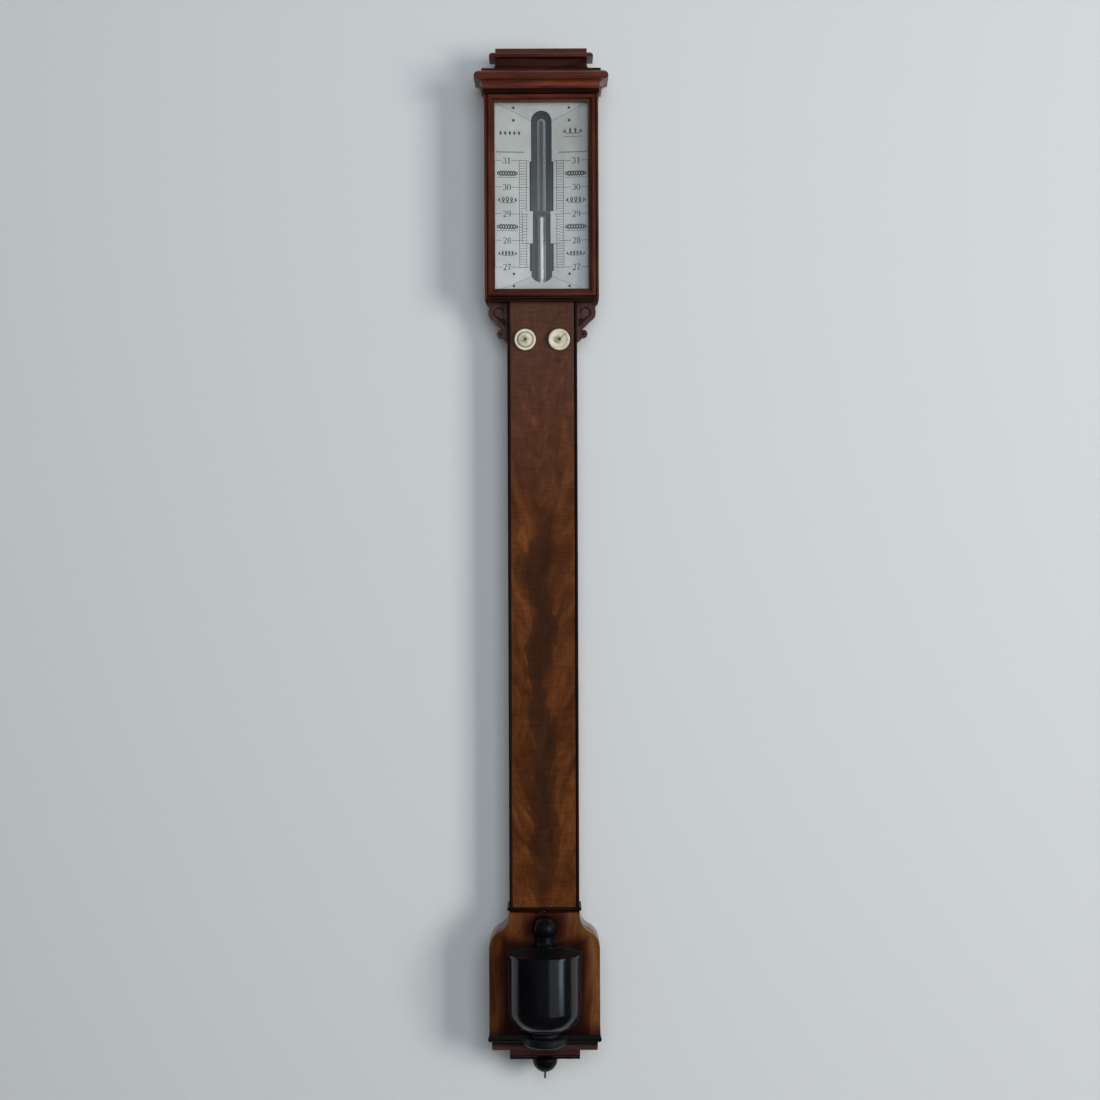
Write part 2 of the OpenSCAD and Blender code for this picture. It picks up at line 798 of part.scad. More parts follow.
// Two screws hold each side plate and two each spandrel
module plate_screw_places() {
    for (z = [z_sight_top - side_screw_drop, z_sight_foot + side_screw_drop])
        both_sides() translate([plate_half - screw_edge, -plate_d(plate_half - screw_edge), z])
            rotate([0, 0, -cant]) rotate([90, 0, 0]) children();
    both_sides() translate([plate_half - screw_edge, -spandrel_d(mitre_top), z_plate_top - spandrel_screw_drop])
        rotate([cant_top, 0, 0]) rotate([90, 0, 0]) children();
    both_sides()
        translate([plate_half - screw_edge, -spandrel_d(mitre_foot), z_plate_foot + spandrel_screw_drop])
        rotate([-cant_foot, 0, 0]) rotate([90, 0, 0]) children();
}

function spandrel_d(mitre) = plate_edge_d - (plate_edge_d - plate_slot_d) * spandrel_screw_drop / mitre;

module plate_screws() {
    color("gray") plate_screw_places() {
        translate([0, 0, -plate_screw_l]) cylinder(r = plate_screw_r, h = plate_screw_l);
        cylinder(r = plate_screw_head_r, h = plate_screw_head_t);
    }
}

module plate_screw_holes() {
    plate_screw_places() cylinder(r = plate_screw_r + turn_gap, h = 2 * plate_screw_l, center = true);
}

module plate_cuts() {
    xz_prism(0, far) slot_shape(0);
    plate_screw_holes();
}

module scale_plate() {
    difference() {
        intersection() {
            side_plane(z_plate_foot, z_plate_top, 0, plate_t);
            xz_prism(0, far) polygon([
                [plate_half, z_plate_top],
                [slot_half, z_plate_top - mitre_top],
                [slot_half, z_plate_foot + mitre_foot],
                [plate_half, z_plate_foot]
            ]);
        }
        plate_cuts();
    }
}

module scale_plate_left() {
    color("lightgray") left_side() scale_plate();
}

module scale_plate_right() {
    color("lightgray") scale_plate();
}

module spandrel_plate(z_edge, z_in) {
    color("lightgray") difference() {
        intersection() {
            end_plane(z_edge, z_in, 0, plate_t);
            xz_prism(0, far) polygon([
                [-plate_half, z_edge],
                [-slot_half, z_in],
                [slot_half, z_in],
                [plate_half, z_edge]
            ]);
        }
        plate_cuts();
    }
}

module spandrel_plate_top() {
    spandrel_plate(z_plate_top, z_plate_top - mitre_top);
}

module spandrel_plate_foot() {
    spandrel_plate(z_plate_foot, z_plate_foot + mitre_foot);
}

// Scroll brackets, drawn in twentieths of their width: a moulded top, a round lobe with its eye,
// a ribbon that runs down to a small volute, and a hollow between the ribbon and the trunk
bracket_unit = bracket_w / 20;
lobe_at = [9.9, -9.4];
lobe_r = 8.5;
eye_at = [7.9, -9.7];
eye_r = 4.2;
groove_w = 1.35;
volute_at = [6.3, -30.1];
volute_r = 3.9;
carve_d = 1.6;

module bracket_round(at, r) {
    translate(at * bracket_unit) circle(r = r * bracket_unit);
}

module bracket_flat(points) {
    polygon(points * bracket_unit);
}

module bracket() {
    front = bracket_back + bracket_t;
    translate([trunk_half, 0, z_soffit]) difference() {
        union() {
            xz_prism(bracket_back, front) bracket_flat([[0, 0], [20, 0], [20, -1.75], [19.6, -1.75],
                [17.75, -3.7], [18, -7], [18.1, -9.4], [15.5, -15.4], [5.9, -25], [3.6, -26.4], [5.1, -33.8],
                [3.9, -35.3], [1.1, -37.8], [0, -38.3]]);
            xz_prism(bracket_back, front) bracket_round(lobe_at, lobe_r);
            xz_prism(bracket_back, front) bracket_round(volute_at, volute_r);
        }
        xz_prism(front - carve_d, far) difference() {
            bracket_round(eye_at, eye_r + groove_w);
            bracket_round(eye_at, eye_r);
            bracket_flat([eye_at, eye_at - [0, 20], [-1, -30], [-1, eye_at[1]]]);
        }
        xz_prism(front - carve_d, far)
            bracket_flat([[1.2, -16], [7.6, -15.2], [9.6, -14.2], [10.6, -14.4], [2.2, -23], [1.2, -23]]);
        xz_prism(front - carve_d, far) bracket_round(volute_at, groove_w);
    }
}

module bracket_left() {
    color("maroon") left_side() bracket();
}

module bracket_right() {
    color("maroon") bracket();
}

// Trunk
module trunk_front() {
    front_half = trunk_half - edge_bead_w;
    color("saddlebrown") difference() {
        bar(-front_half, front_half, board_t, trunk_d, z_base_top, z_soffit);
        both_sides() rod_y(key_x, z_key, 0, far, bush_r);
    }
}

module trunk_bead() {
    bead_r = edge_bead_w / 2;
    xy_prism(z_base_top, z_soffit) {
        strip(trunk_half - edge_bead_w, trunk_d - edge_bead_d, edge_bead_w, edge_bead_d - bead_r / 2);
        translate([trunk_half - bead_r, trunk_d - bead_r / 2]) circle(r = bead_r);
    }
}

module trunk_bead_left() {
    color("black") left_side() trunk_bead();
}

module trunk_bead_right() {
    color("black") trunk_bead();
}

module foot_bead_profile() {
    bead_r = foot_bead_h / 2;
    strip(0, z_base_top, trunk_half + foot_bead_p - bead_r, foot_bead_h);
    translate([trunk_half + foot_bead_p - bead_r, z_base_top + bead_r]) circle(r = bead_r);
}

module trunk_foot_bead() {
    front_half = trunk_half - edge_bead_w;
    color("black") difference() {
        three_sided(trunk_half - trunk_d) foot_bead_profile();
        bar(-front_half, front_half, -1, trunk_d, z_base_top - 1, z_base_top + foot_bead_h + 1);
        both_sides() bar(front_half - 1, trunk_half, -1, board_t, z_base_top - 1, z_base_top + foot_bead_h + 1);
        both_sides() trunk_bead();
    }
}

// Each bush lets a key's arbor through the trunk front
module key_bushes() {
    color("goldenrod") both_sides() difference() {
        rod_y(key_x, z_key, board_t, trunk_d, bush_r);
        rod_y(key_x, z_key, 0, far, arbor_r + turn_gap);
    }
}

// Base: hollow shoulders turn into rounded corners and straight sides
module base_body(d0, d1) {
    hollow_x = trunk_half + shoulder_r;
    hollow_z = z_base_top - shoulder_drop;
    corner_x = base_half - corner_r;
    between = shoulder_r + corner_r;
    corner_z = hollow_z - sqrt(between * between - (hollow_x - corner_x) * (hollow_x - corner_x));
    turn_x = hollow_x + (corner_x - hollow_x) * shoulder_r / between;
    bar(-base_half, base_half, d0, d1, z_base_foot, corner_z);
    both_sides() rod_y(corner_x, corner_z, d0, d1, corner_r);
    difference() {
        bar(-turn_x, turn_x, d0, d1, corner_z - 1, z_base_top);
        both_sides() {
            rod_y(hollow_x, hollow_z, d0 - 1, d1 + 1, shoulder_r);
            bar(trunk_half, far, d0 - 1, d1 + 1, hollow_z, far);
        }
    }
}

module base_block() {
    color("sienna") difference() {
        base_body(0, base_back_d);
        bar(-lap_half - lay_gap, lap_half + lay_gap, -1, lap_t + lay_gap, z_base_top - lap_l - lay_gap,
            z_base_top + 1);
        rod_z(0, tube_d, z_ring_foot, recess_top, recess_r);
        bar(-recess_r, recess_r, tube_d, far, z_ring_foot, recess_top);
        rod_z(0, tube_d, z_nut_top, z_ring_foot + 1, well_r);
        bar(-well_r, well_r, tube_d, far, z_nut_top, z_ring_foot + 1);
        rod_z(0, tube_d, z_base_foot - 1, z_nut_top + 1, nut_r);
        tube_groove(recess_top - 1, z_base_top + 1);
    }
}

module base_front() {
    color("peru") difference() {
        base_body(base_back_d, base_d);
        bar(-recess_r, recess_r, 0, far, z_nut_top, recess_top);
        both_sides() for (z = cover_pin_z) rod_y(pin_x, z, base_d - pin_l - lay_gap, far, pin_r + turn_gap);
    }
}

module flare_slope() {
    polygon([
        [0, z_base_foot],
        [base_half, z_base_foot],
        [base_half + flare_p, z_base_foot - flare_h / 2],
        [base_half + flare_p, z_flare_foot + flare_r],
        [0, z_flare_foot + flare_r]
    ]);
}

module flare_round() {
    strip(0, z_flare_foot, base_half + flare_p - flare_r, flare_r);
    translate([base_half + flare_p - flare_r, z_flare_foot + flare_r]) intersection() {
        circle(r = flare_r);
        strip(0, -flare_r, flare_r, flare_r);
    }
}

module screw_hole(r) {
    rod_z(0, tube_d, z_boss_foot - 1, z_base_foot + 1, r);
}

module base_moulding_upper() {
    color("black") difference() {
        union() {
            three_sided(base_shift) flare_slope();
            three_sided(base_shift) flare_round();
        }
        screw_hole(screw_r + move_gap);
    }
}

module plinth_profile() {
    half = base_half - plinth_in;
    strip(0, z_plinth_foot + plinth_r, half, plinth_h - plinth_r);
    strip(0, z_plinth_foot, half - plinth_r, plinth_h);
    translate([half - plinth_r, z_plinth_foot + plinth_r]) circle(r = plinth_r);
}

module base_moulding_lower() {
    color("sienna") difference() {
        three_sided(base_shift) plinth_profile();
        screw_hole(shank_r + move_gap);
    }
}

module foot_profile() {
    half = foot_w / 2;
    round_r = foot_h / 3;
    strip(-half, z_foot + round_r, 2 * half, foot_h - round_r);
    difference() {
        strip(-half, z_foot, 2 * half, round_r);
        translate([half, z_foot]) circle(r = round_r);
    }
}

module base_foot_block() {
    color("sienna") difference() {
        three_sided(foot_w / 2 - foot_d) foot_profile();
        screw_hole(shank_r + move_gap);
    }
}

module base_boss() {
    color("black") difference() {
        union() {
            rod_z(0, tube_d, z_foot - boss_straight, z_foot, boss_r);
            intersection() {
                translate([0, -tube_d, z_foot - boss_straight]) sphere(r = boss_r);
                bar(-far, far, -far, far, z_boss_foot - 1, z_foot - boss_straight);
            }
        }
        screw_hole(shank_r + move_gap);
    }
}

module screw_bush() {
    color("goldenrod") difference() {
        rod_z(0, tube_d, z_base_foot, z_nut_top, nut_r);
        rod_z(0, tube_d, z_base_foot - 1, z_nut_top + 1, screw_r + turn_gap);
    }
}

// Tube and cistern
module round_topped(z0, z1, r) {
    rod_z(0, tube_d, z0, z1 - r, r);
    translate([0, -tube_d, z1 - r]) sphere(r = r);
}

module glass_tube() {
    color("lightcyan", 0.5) difference() {
        round_topped(z_tube_end, z_tube_top, tube_r);
        round_topped(z_tube_end - 1, z_tube_top - tube_r + tube_bore_r, tube_bore_r);
    }
}

// The mercury stands in the bore with a rounded top
module mercury_column() {
    color("silver") round_topped(z_tube_end, z_mercury, tube_bore_r - turn_gap);
}

module turned_on_tube() {
    translate([0, -tube_d, 0]) rotate_extrude() children();
}

module cistern_body() {
    color("khaki") turned_on_tube()
        strip(cistern_bore, z_cistern_foot, cistern_wall, cistern_rise + cistern_drop);
}

module cistern_cap() {
    color("khaki") turned_on_tube() difference() {
        union() {
            strip(0, z_cistern_top, cistern_r, cap_t);
            strip(0, z_cap_top, collar_r, collar_h);
        }
        strip(0, z_cistern_top - 1, tube_r + turn_gap, cap_t + 2);
        strip(0, z_cap_top, packing_r, collar_h + 1);
    }
}

// Cork saddles hold the tube in its groove, and a ring packs it in the cistern's collar
module tube_packing() {
    color("tan") {
        turned_on_tube() strip(tube_r + turn_gap, z_cap_top, packing_r - tube_r - 2 * turn_gap, collar_h);
        for (z = cork_z) difference() {
            bar(-groove_r + turn_gap, groove_r - turn_gap, tube_d, board_t, z - cork_h / 2, z + cork_h / 2);
            rod_z(0, tube_d, z - cork_h, z + cork_h, tube_r + turn_gap);
        }
    }
}

module bag_shape(r, foot, corner) {
    strip(0, foot + corner, r, z_cistern_foot - foot - corner);
    strip(0, foot, r - corner, corner);
    intersection() {
        translate([r - corner, foot + corner]) circle(r = corner);
        strip(0, foot, r, corner);
    }
}

module bag_hollow(grow) {
    bag_shape(bag_r - leather_t - grow, z_bag_foot + leather_t + grow, bag_corner - leather_t);
}

module leather_bag() {
    color("burlywood") turned_on_tube() difference() {
        union() {
            bag_shape(bag_r, z_bag_foot, bag_corner);
            strip(0, z_cistern_foot - leather_t, cistern_r - 1, leather_t);
        }
        bag_hollow(0);
        strip(0, z_cistern_foot - leather_t - 1, bag_r - leather_t, leather_t + 2);
    }
}

module cistern_mercury() {
    pool_r = cistern_bore - turn_gap;
    color("silver") turned_on_tube() difference() {
        union() {
            strip(0, z_cistern_foot, pool_r, cistern_drop);
            bag_hollow(turn_gap);
        }
        strip(0, z_tube_end, tube_r + turn_gap, far);
    }
}

module cistern_ring() {
    color("khaki") turned_on_tube()
        strip(bag_r + move_gap, z_ring_foot, cistern_r - bag_r - move_gap, ring_h);
}

// Half-turned cover: the back is open and lies on the base front
module half_turned() {
    intersection() {
        translate([0, -base_d, 0]) rotate_extrude() children();
        bar(-far, far, base_d, far, -3 * far, far);
    }
}

module urn_round(r, bottom, corner, top) {
    strip(0, bottom + corner, r, top - bottom - corner);
    strip(0, bottom, r - corner, corner);
    intersection() {
        translate([r - corner, bottom + corner]) circle(r = corner);
        strip(0, bottom, r, corner);
    }
}

module urn_outside() {
    foot_round = urn_foot_h / 2;
    urn_round(urn_r, z_urn_bottom, urn_bottom_r, z_rim);
    strip(0, z_rim - urn_rim_h, urn_r + urn_lip, urn_rim_h);
    polygon([[0, z_rim], [urn_r + urn_lip, z_rim], [ball_foot_r, z_urn_top], [0, z_urn_top]]);
    difference() {
        strip(0, z_urn_foot_top, urn_stem_r + urn_stem_h / 2, urn_stem_h - 1);
        translate([urn_stem_r + urn_stem_h / 2, (z_urn_bottom + z_urn_foot_top) / 2])
            circle(r = urn_stem_h / 2 - 0.5);
    }
    strip(0, z_urn_foot + foot_round, urn_foot_r, foot_round);
    strip(0, z_urn_foot, urn_foot_r - foot_round, foot_round);
    translate([urn_foot_r - foot_round, z_urn_foot + foot_round]) circle(r = foot_round);
}

module urn_cover() {
    color("black") difference() {
        half_turned() difference() {
            urn_outside();
            urn_round(urn_in, z_urn_bottom + urn_wall, urn_bottom_r - urn_wall, z_rim - urn_wall);
        }
        bar(-far, far, 0, base_d + flare_p + turn_gap, z_urn_foot - 1, z_base_foot);
        both_sides() for (z = cover_pin_z) rod_y(pin_x, z, 0, base_d + pin_l + lay_gap, pin_r + turn_gap);
    }
}

module urn_finial() {
    throat_r = (ball_neck_h - 2) / 2;
    color("black") half_turned() {
        intersection() {
            translate([0, z_ball]) circle(r = ball_r);
            strip(0, z_ball - ball_r, ball_r, 2 * ball_r);
        }
        difference() {
            strip(0, z_urn_top, ball_foot_r, z_ball - z_urn_top);
            translate([ball_neck_r + throat_r, z_urn_top + 1 + throat_r]) circle(r = throat_r);
            strip(ball_neck_r + throat_r, z_urn_top + 1, far, far);
            strip(ball_neck_r, z_urn_top + 1 + throat_r, far, far);
        }
    }
}

module cover_pins() {
    color("goldenrod") both_sides() for (z = cover_pin_z)
        rod_y(pin_x, z, base_d - pin_l, base_d + pin_l, pin_r);
}

// Hanging plate let into the back
module hanging_plate() {
    color("goldenrod") difference() {
        union() {
            xz_prism(0, hang_t) hang_outline(0);
        }
        rod_y(0, 0, -1, hang_t + 1, hang_r);
        wood_screws(turn_gap);
    }
}

module hanging_screws() {
    color("darkgoldenrod") wood_screws(0);
}

// Door: a mitred, beaded frame hung on two pins in the left stile
module frame_profile() {
    step_d = door_front - frame_step;
    translate([frame_bead_r, door_front - frame_bead_r]) circle(r = frame_bead_r);
    difference() {
        strip(0, door_back, frame_w, step_d - door_back);
        strip(frame_w - rebate_w, door_back - 1, rebate_w + 1, door_front - glass_setback - door_back + 1);
    }
}

module stile() {
    intersection() {
        xy_prism(z_door_foot, z_door_top) translate([door_half, 0]) mirror([1, 0]) frame_profile();
        xz_prism(0, far) polygon([
            [door_half, z_door_foot],
            [door_half, z_door_top],
            [door_half - frame_w, z_door_top - frame_w],
            [door_half - frame_w, z_door_foot + frame_w]
        ]);
    }
}

module rail_shape() {
    intersection() {
        yz_prism(-door_half, door_half) rotate(-90) frame_profile();
        xz_prism(0, far) polygon([
            [-door_half, 0],
            [door_half, 0],
            [door_half - frame_w, -frame_w],
            [-door_half + frame_w, -frame_w]
        ]);
    }
}

module pin_sockets() {
    rod_z(pivot_x, pivot_d, z_door_top - pin_in_door, z_door_top + 1, door_pin_r);
    rod_z(pivot_x, pivot_d, z_door_foot - 1, z_door_foot + pin_in_door, door_pin_r);
}

module door_stile_left() {
    color("sienna") difference() {
        left_side() stile();
        pin_sockets();
    }
}

module door_stile_right() {
    color("sienna") stile();
}

module door_rail_top() {
    color("sienna") difference() {
        translate([0, 0, z_door_top]) rail_shape();
        pin_sockets();
    }
}

module door_rail_foot() {
    color("sienna") difference() {
        translate([0, 0, z_door_foot]) mirror([0, 0, 1]) rail_shape();
        pin_sockets();
    }
}

glass_half = sight_half + rebate_w - lay_gap;
z_glass_top = z_sight_top + rebate_w - lay_gap;
z_glass_foot = z_sight_foot - rebate_w + lay_gap;
glass_front = door_front - glass_setback;
glass_back = glass_front - glass_t;

module door_glass() {
    color("lightblue", 0.3) bar(-glass_half, glass_half, glass_back, glass_front, z_glass_foot, z_glass_top);
}

module glass_beads() {
    bead_w = rebate_w - 2 * lay_gap;
    color("sienna") difference() {
        bar(-glass_half, glass_half, door_back, glass_back, z_glass_foot, z_glass_top);
        bar(-glass_half + bead_w, glass_half - bead_w, 0, far, z_glass_foot + bead_w, z_glass_top - bead_w);
    }
}

module door_pins() {
    color("goldenrod") {
        rod_z(pivot_x, pivot_d, z_door_top - pin_in_door, z_head_top + pin_out, door_pin_r);
        rod_z(pivot_x, pivot_d, z_head_foot + floor_lip_t - pin_out, z_door_foot + pin_in_door, door_pin_r);
    }
}

// Verniers slide on the face of the scale plates and carry a sighting bar in front of the tube
module vernier() {
    back_in = plate_d(vernier_in) + move_gap;
    back_out = plate_d(vernier_in + vernier_w) + move_gap;
    xy_prism(z_mercury - vernier_h, z_mercury + sight_bar_h) polygon([
        [vernier_in, back_in],
        [vernier_in + vernier_w, back_out],
        [vernier_in + vernier_w, back_out + vernier_t],
        [vernier_in, back_in + vernier_t]
    ]);
    bar(move_gap / 2, vernier_in, board_t + move_gap, back_in + vernier_t, z_mercury, z_mercury + sight_bar_h);
}

module vernier_left() {
    color("gainsboro") left_side() vernier();
}

module vernier_right() {
    color("gainsboro") vernier();
}

// Rack teeth point outwards at the pinion, with a space at the height of the key
module rack_outline() {
    root_half = tooth_pitch / 4 - backlash / 2 + rack_root * tan(pressure);
    tip_half = tooth_pitch / 4 - backlash / 2 - rack_tip * tan(pressure);
    first = -floor((travel_up + rack_margin / 2) / tooth_pitch);
    last = floor((travel_down + rack_margin / 2) / tooth_pitch);
    strip(rack_inner, z_rack_foot, rack_line - rack_root - rack_inner, z_rack_top - z_rack_foot);
    for (i = [first : last]) translate([rack_line, z_key + (i + 0.5) * tooth_pitch]) polygon([
        [-rack_root - 0.1, -root_half],
        [-rack_root, -root_half],
        [rack_tip, -tip_half],
        [rack_tip, tip_half],
        [-rack_root, root_half],
        [-rack_root - 0.1, root_half]
    ]);
}

module rack() {
    foot_top = z_mercury - 1;
    xz_prism(rack_back, rack_front) rack_outline();
    xy_prism(foot_top - foot_strip_h, foot_top) polygon([
        [foot_strip_in, rack_back],
        [foot_strip_out, rack_back],
        [foot_strip_out, plate_d(foot_strip_out) + move_gap],
        [foot_strip_in, plate_d(foot_strip_in) + move_gap]
    ]);
}

module rack_left() {
    color("goldenrod") left_side() rack();
}

module rack_right() {
    color("goldenrod") rack();
}

// Involute tooth: half the tooth's angle at radius r, from the base circle up
base_r = pitch_r * cos(pressure);
function unwind(r) = r <= base_r ? 0 : let(a = acos(base_r / r)) tan(a) * 180 / PI - a;
pitch_half_angle = 90 / pinion_teeth - backlash / 2 / pitch_r * 180 / PI;
function tooth_half_angle(r) = pitch_half_angle + unwind(pitch_r) - unwind(r);
flank_steps = 5;
flank_r = [for (i = [0 : flank_steps]) pinion_root + (pinion_tip - pinion_root) * i / flank_steps];

module pinion_outline() {
    circle(r = pinion_root + 0.02);
    for (k = [0 : pinion_teeth - 1]) rotate(k * 360 / pinion_teeth) polygon(concat(
        [[0, 0]],
        [for (r = flank_r) [r * cos(tooth_half_angle(r)), -r * sin(tooth_half_angle(r))]],
        [for (i = [flank_steps : -1 : 0]) let(r = flank_r[i], a = tooth_half_angle(r)) [r * cos(a), r * sin(a)]]
    ));
}

// The arbor carries the pinion and turns in the bush and in the backboard; a tooth faces the rack
module key_arbor() {
    rod_y(key_x, z_key, arbor_back, disc_front - 0.5, arbor_r);
    translate([key_x, 0, z_key]) xz_prism(rack_back, rack_front) rotate(180) pinion_outline();
}

module key_arbor_left() {
    color("goldenrod") left_side() key_arbor();
}

module key_arbor_right() {
    color("goldenrod") key_arbor();
}

rim_w = disc_r * 0.2;
ring_groove = 0.8;

// Left key: a rim, a groove and a domed middle
module key_disc_left() {
    dome_r = disc_r - rim_w - ring_groove;
    rim_t = disc_t * 0.66;
    color("ivory") translate([-key_x, -disc_back, z_key]) rotate([90, 0, 0]) rotate_extrude() difference() {
        union() {
            strip(0, 0, disc_r - rim_w / 2, rim_t);
            strip(0, 0, disc_r, rim_t - rim_w / 2);
            translate([disc_r - rim_w / 2, rim_t - rim_w / 2]) circle(r = rim_w / 2);
            polygon([
                [0, 0],
                [dome_r, 0],
                [dome_r, rim_t],
                [dome_r - 2, disc_t - 0.6],
                [3, disc_t],
                [0, disc_t]
            ]);
        }
        strip(dome_r, rim_t - ring_groove, ring_groove, far);
        strip(0, -1, arbor_r + turn_gap / 2, far);
    }
}

// Right key: a rim round a dished middle
module key_disc_right() {
    dish_r = disc_r - rim_w;
    rim_t = disc_t * 0.66;
    color("ivory") translate([key_x, -disc_back, z_key]) rotate([90, 0, 0]) rotate_extrude() difference() {
        union() {
            strip(0, 0, disc_r - rim_w / 2, rim_t);
            strip(0, 0, disc_r, rim_t - rim_w / 2);
            translate([disc_r - rim_w / 2, rim_t - rim_w / 2]) circle(r = rim_w / 2);
            polygon([[0, 0], [3.4, 0], [3.4, disc_t - 1], [2.4, disc_t - 0.2], [0, disc_t - 0.2]]);
        }
        polygon([[3.4, rim_t - 1.6], [dish_r - 1, rim_t - 0.9], [dish_r, rim_t], [dish_r, far], [3.4, far]]);
        strip(0, -1, arbor_r + turn_gap / 2, far);
    }
}

// Portable screw: turning it lifts the pusher against the leather bag
module pusher_button() {
    color("khaki") difference() {
        rod_z(0, tube_d, z_pusher_foot, z_pusher_top, pusher_r);
        rod_z(0, tube_d, z_pusher_foot - 1, z_pusher_foot + pivot_l + lay_gap, pivot_r + turn_gap);
    }
}

module portable_screw() {
    color("dimgray") {
        rod_z(0, tube_d, z_shank_top, z_pusher_foot, screw_r);
        rod_z(0, tube_d, z_pusher_foot, z_pusher_foot + pivot_l, pivot_r);
        rod_z(0, tube_d, z_boss_foot, z_shank_top, shank_r);
        translate([-square_w / 2, -tube_d - square_w / 2, z_square_foot])
            cube([square_w, square_w, z_boss_foot - z_square_foot]);
    }
}

backboard();
head_side_left();
head_side_right();
head_floor();
head_soffit();
frieze_moulding();
cornice_nosing();
cornice_neck();
cornice_cap();
register_bed();
tube_trough();
scale_plate_left();
scale_plate_right();
spandrel_plate_top();
spandrel_plate_foot();
plate_screws();
bracket_left();
bracket_right();
trunk_front();
trunk_bead_left();
trunk_bead_right();
trunk_foot_bead();
key_bushes();
base_block();
base_front();
base_moulding_upper();
base_moulding_lower();
base_foot_block();
base_boss();
screw_bush();
glass_tube();
mercury_column();
cistern_body();
cistern_cap();
tube_packing();
cistern_mercury();
leather_bag();
cistern_ring();
urn_cover();
urn_finial();
cover_pins();
hanging_plate();
hanging_screws();
door_stile_left();
door_stile_right();
door_rail_top();
door_rail_foot();
door_glass();
glass_beads();
door_pins();
vernier_left();
vernier_right();
rack_left();
rack_right();
key_disc_left();
key_disc_right();
key_arbor_left();
key_arbor_right();
pusher_button();
portable_screw();
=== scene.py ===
import bpy
import json
import math
import numpy as np
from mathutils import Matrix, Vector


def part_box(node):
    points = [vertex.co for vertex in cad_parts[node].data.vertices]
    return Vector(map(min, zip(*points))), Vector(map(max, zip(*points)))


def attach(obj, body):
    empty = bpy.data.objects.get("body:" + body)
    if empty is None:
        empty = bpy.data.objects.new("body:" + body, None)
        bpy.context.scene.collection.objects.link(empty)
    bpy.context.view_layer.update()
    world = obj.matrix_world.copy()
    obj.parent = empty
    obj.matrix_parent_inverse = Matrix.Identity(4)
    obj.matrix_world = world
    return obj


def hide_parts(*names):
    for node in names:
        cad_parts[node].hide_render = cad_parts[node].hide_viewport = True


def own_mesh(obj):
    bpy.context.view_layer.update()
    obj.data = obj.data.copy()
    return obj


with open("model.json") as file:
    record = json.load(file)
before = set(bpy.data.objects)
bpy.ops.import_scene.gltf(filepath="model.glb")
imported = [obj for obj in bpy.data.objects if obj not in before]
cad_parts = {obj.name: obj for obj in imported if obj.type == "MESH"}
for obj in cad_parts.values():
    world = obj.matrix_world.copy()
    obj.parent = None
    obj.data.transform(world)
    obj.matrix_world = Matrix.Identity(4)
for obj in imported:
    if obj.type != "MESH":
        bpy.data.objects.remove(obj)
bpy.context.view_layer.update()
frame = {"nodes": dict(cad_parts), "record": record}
nodes = frame["nodes"]
stage = bpy.context.scene
print("frame loaded with", len(nodes), "nodes")


# camera: the photograph's place, square to the wall, with the object's small lean to the left
view = {"place": (0.0067, -1.783, -0.420), "lens": 60.18, "sensor": 36.0, "near": 0.01, "lean": 0.233}
cameraData = bpy.data.cameras.new("camera")
cameraData.lens = view["lens"]
cameraData.sensor_width = view["sensor"]
cameraData.clip_start = view["near"]
camera = bpy.data.objects.new("camera", cameraData)
camera.location = view["place"]
camera.rotation_euler = (math.pi / 2, math.radians(view["lean"]), 0)
stage.collection.objects.link(camera)
stage.camera = camera
stage.view_settings.view_transform = "Standard"


# short helpers for node trees
def freshMaterial(name):
    mat = bpy.data.materials.new(name)
    mat.use_nodes = True
    tree = mat.node_tree
    tree.nodes.clear()
    out = tree.nodes.new("ShaderNodeOutputMaterial")
    shader = tree.nodes.new("ShaderNodeBsdfPrincipled")
    tree.links.new(shader.outputs[0], out.inputs["Surface"])
    return mat, tree, shader


def put(tree, socket, value):
    if isinstance(value, bpy.types.NodeSocket):
        tree.links.new(value, socket)
    elif isinstance(value, tuple) and len(value) == 3 and socket.type == "RGBA":
        socket.default_value = (*value, 1.0)
    else:
        socket.default_value = value


def setSockets(tree, shader, values):
    for name, value in values.items():
        put(tree, shader.inputs[name], value)


def objectPoint(tree):
    return tree.nodes.new("ShaderNodeTexCoord").outputs["Object"]


def stretched(tree, point, scale, shift=(0, 0, 0)):
    made = tree.nodes.new("ShaderNodeMapping")
    setSockets(tree, made, {"Vector": point, "Scale": scale, "Location": shift})
    return made.outputs[0]


def noise(tree, point, detail, rough, warp=0.0):
    made = tree.nodes.new("ShaderNodeTexNoise")
    setSockets(tree, made, {"Vector": point, "Scale": 1.0, "Detail": detail, "Roughness": rough, "Distortion": warp})
    return made.outputs["Fac"]


def ramp(tree, amount, stops):
    made = tree.nodes.new("ShaderNodeValToRGB")
    put(tree, made.inputs[0], amount)
    band = made.color_ramp
    while len(band.elements) < len(stops):
        band.elements.new(0.5)
    for element, (place, colour) in zip(band.elements, stops):
        element.position = place
        shade = colour if isinstance(colour, tuple) else (colour, colour, colour)
        element.color = (*shade, 1.0)
    return made.outputs[0]


def mixed(tree, amount, first, second, mode="MIX"):
    made = tree.nodes.new("ShaderNodeMix")
    made.data_type = "RGBA"
    made.blend_type = mode
    put(tree, made.inputs[0], amount)
    put(tree, made.inputs[6], first)
    put(tree, made.inputs[7], second)
    return made.outputs[2]


def tinted(tree, tone, amount, stops, strength=1.0):
    return mixed(tree, strength, tone, ramp(tree, amount, stops), "MULTIPLY")


def maths(tree, what, first, second=0.0):
    made = tree.nodes.new("ShaderNodeMath")
    made.operation = what
    put(tree, made.inputs[0], first)
    put(tree, made.inputs[1], second)
    return made.outputs[0]


def plus(tree, first, second):
    return maths(tree, "ADD", first, second)


def minus(tree, first, second):
    return maths(tree, "SUBTRACT", first, second)


def times(tree, first, second):
    return maths(tree, "MULTIPLY", first, second)


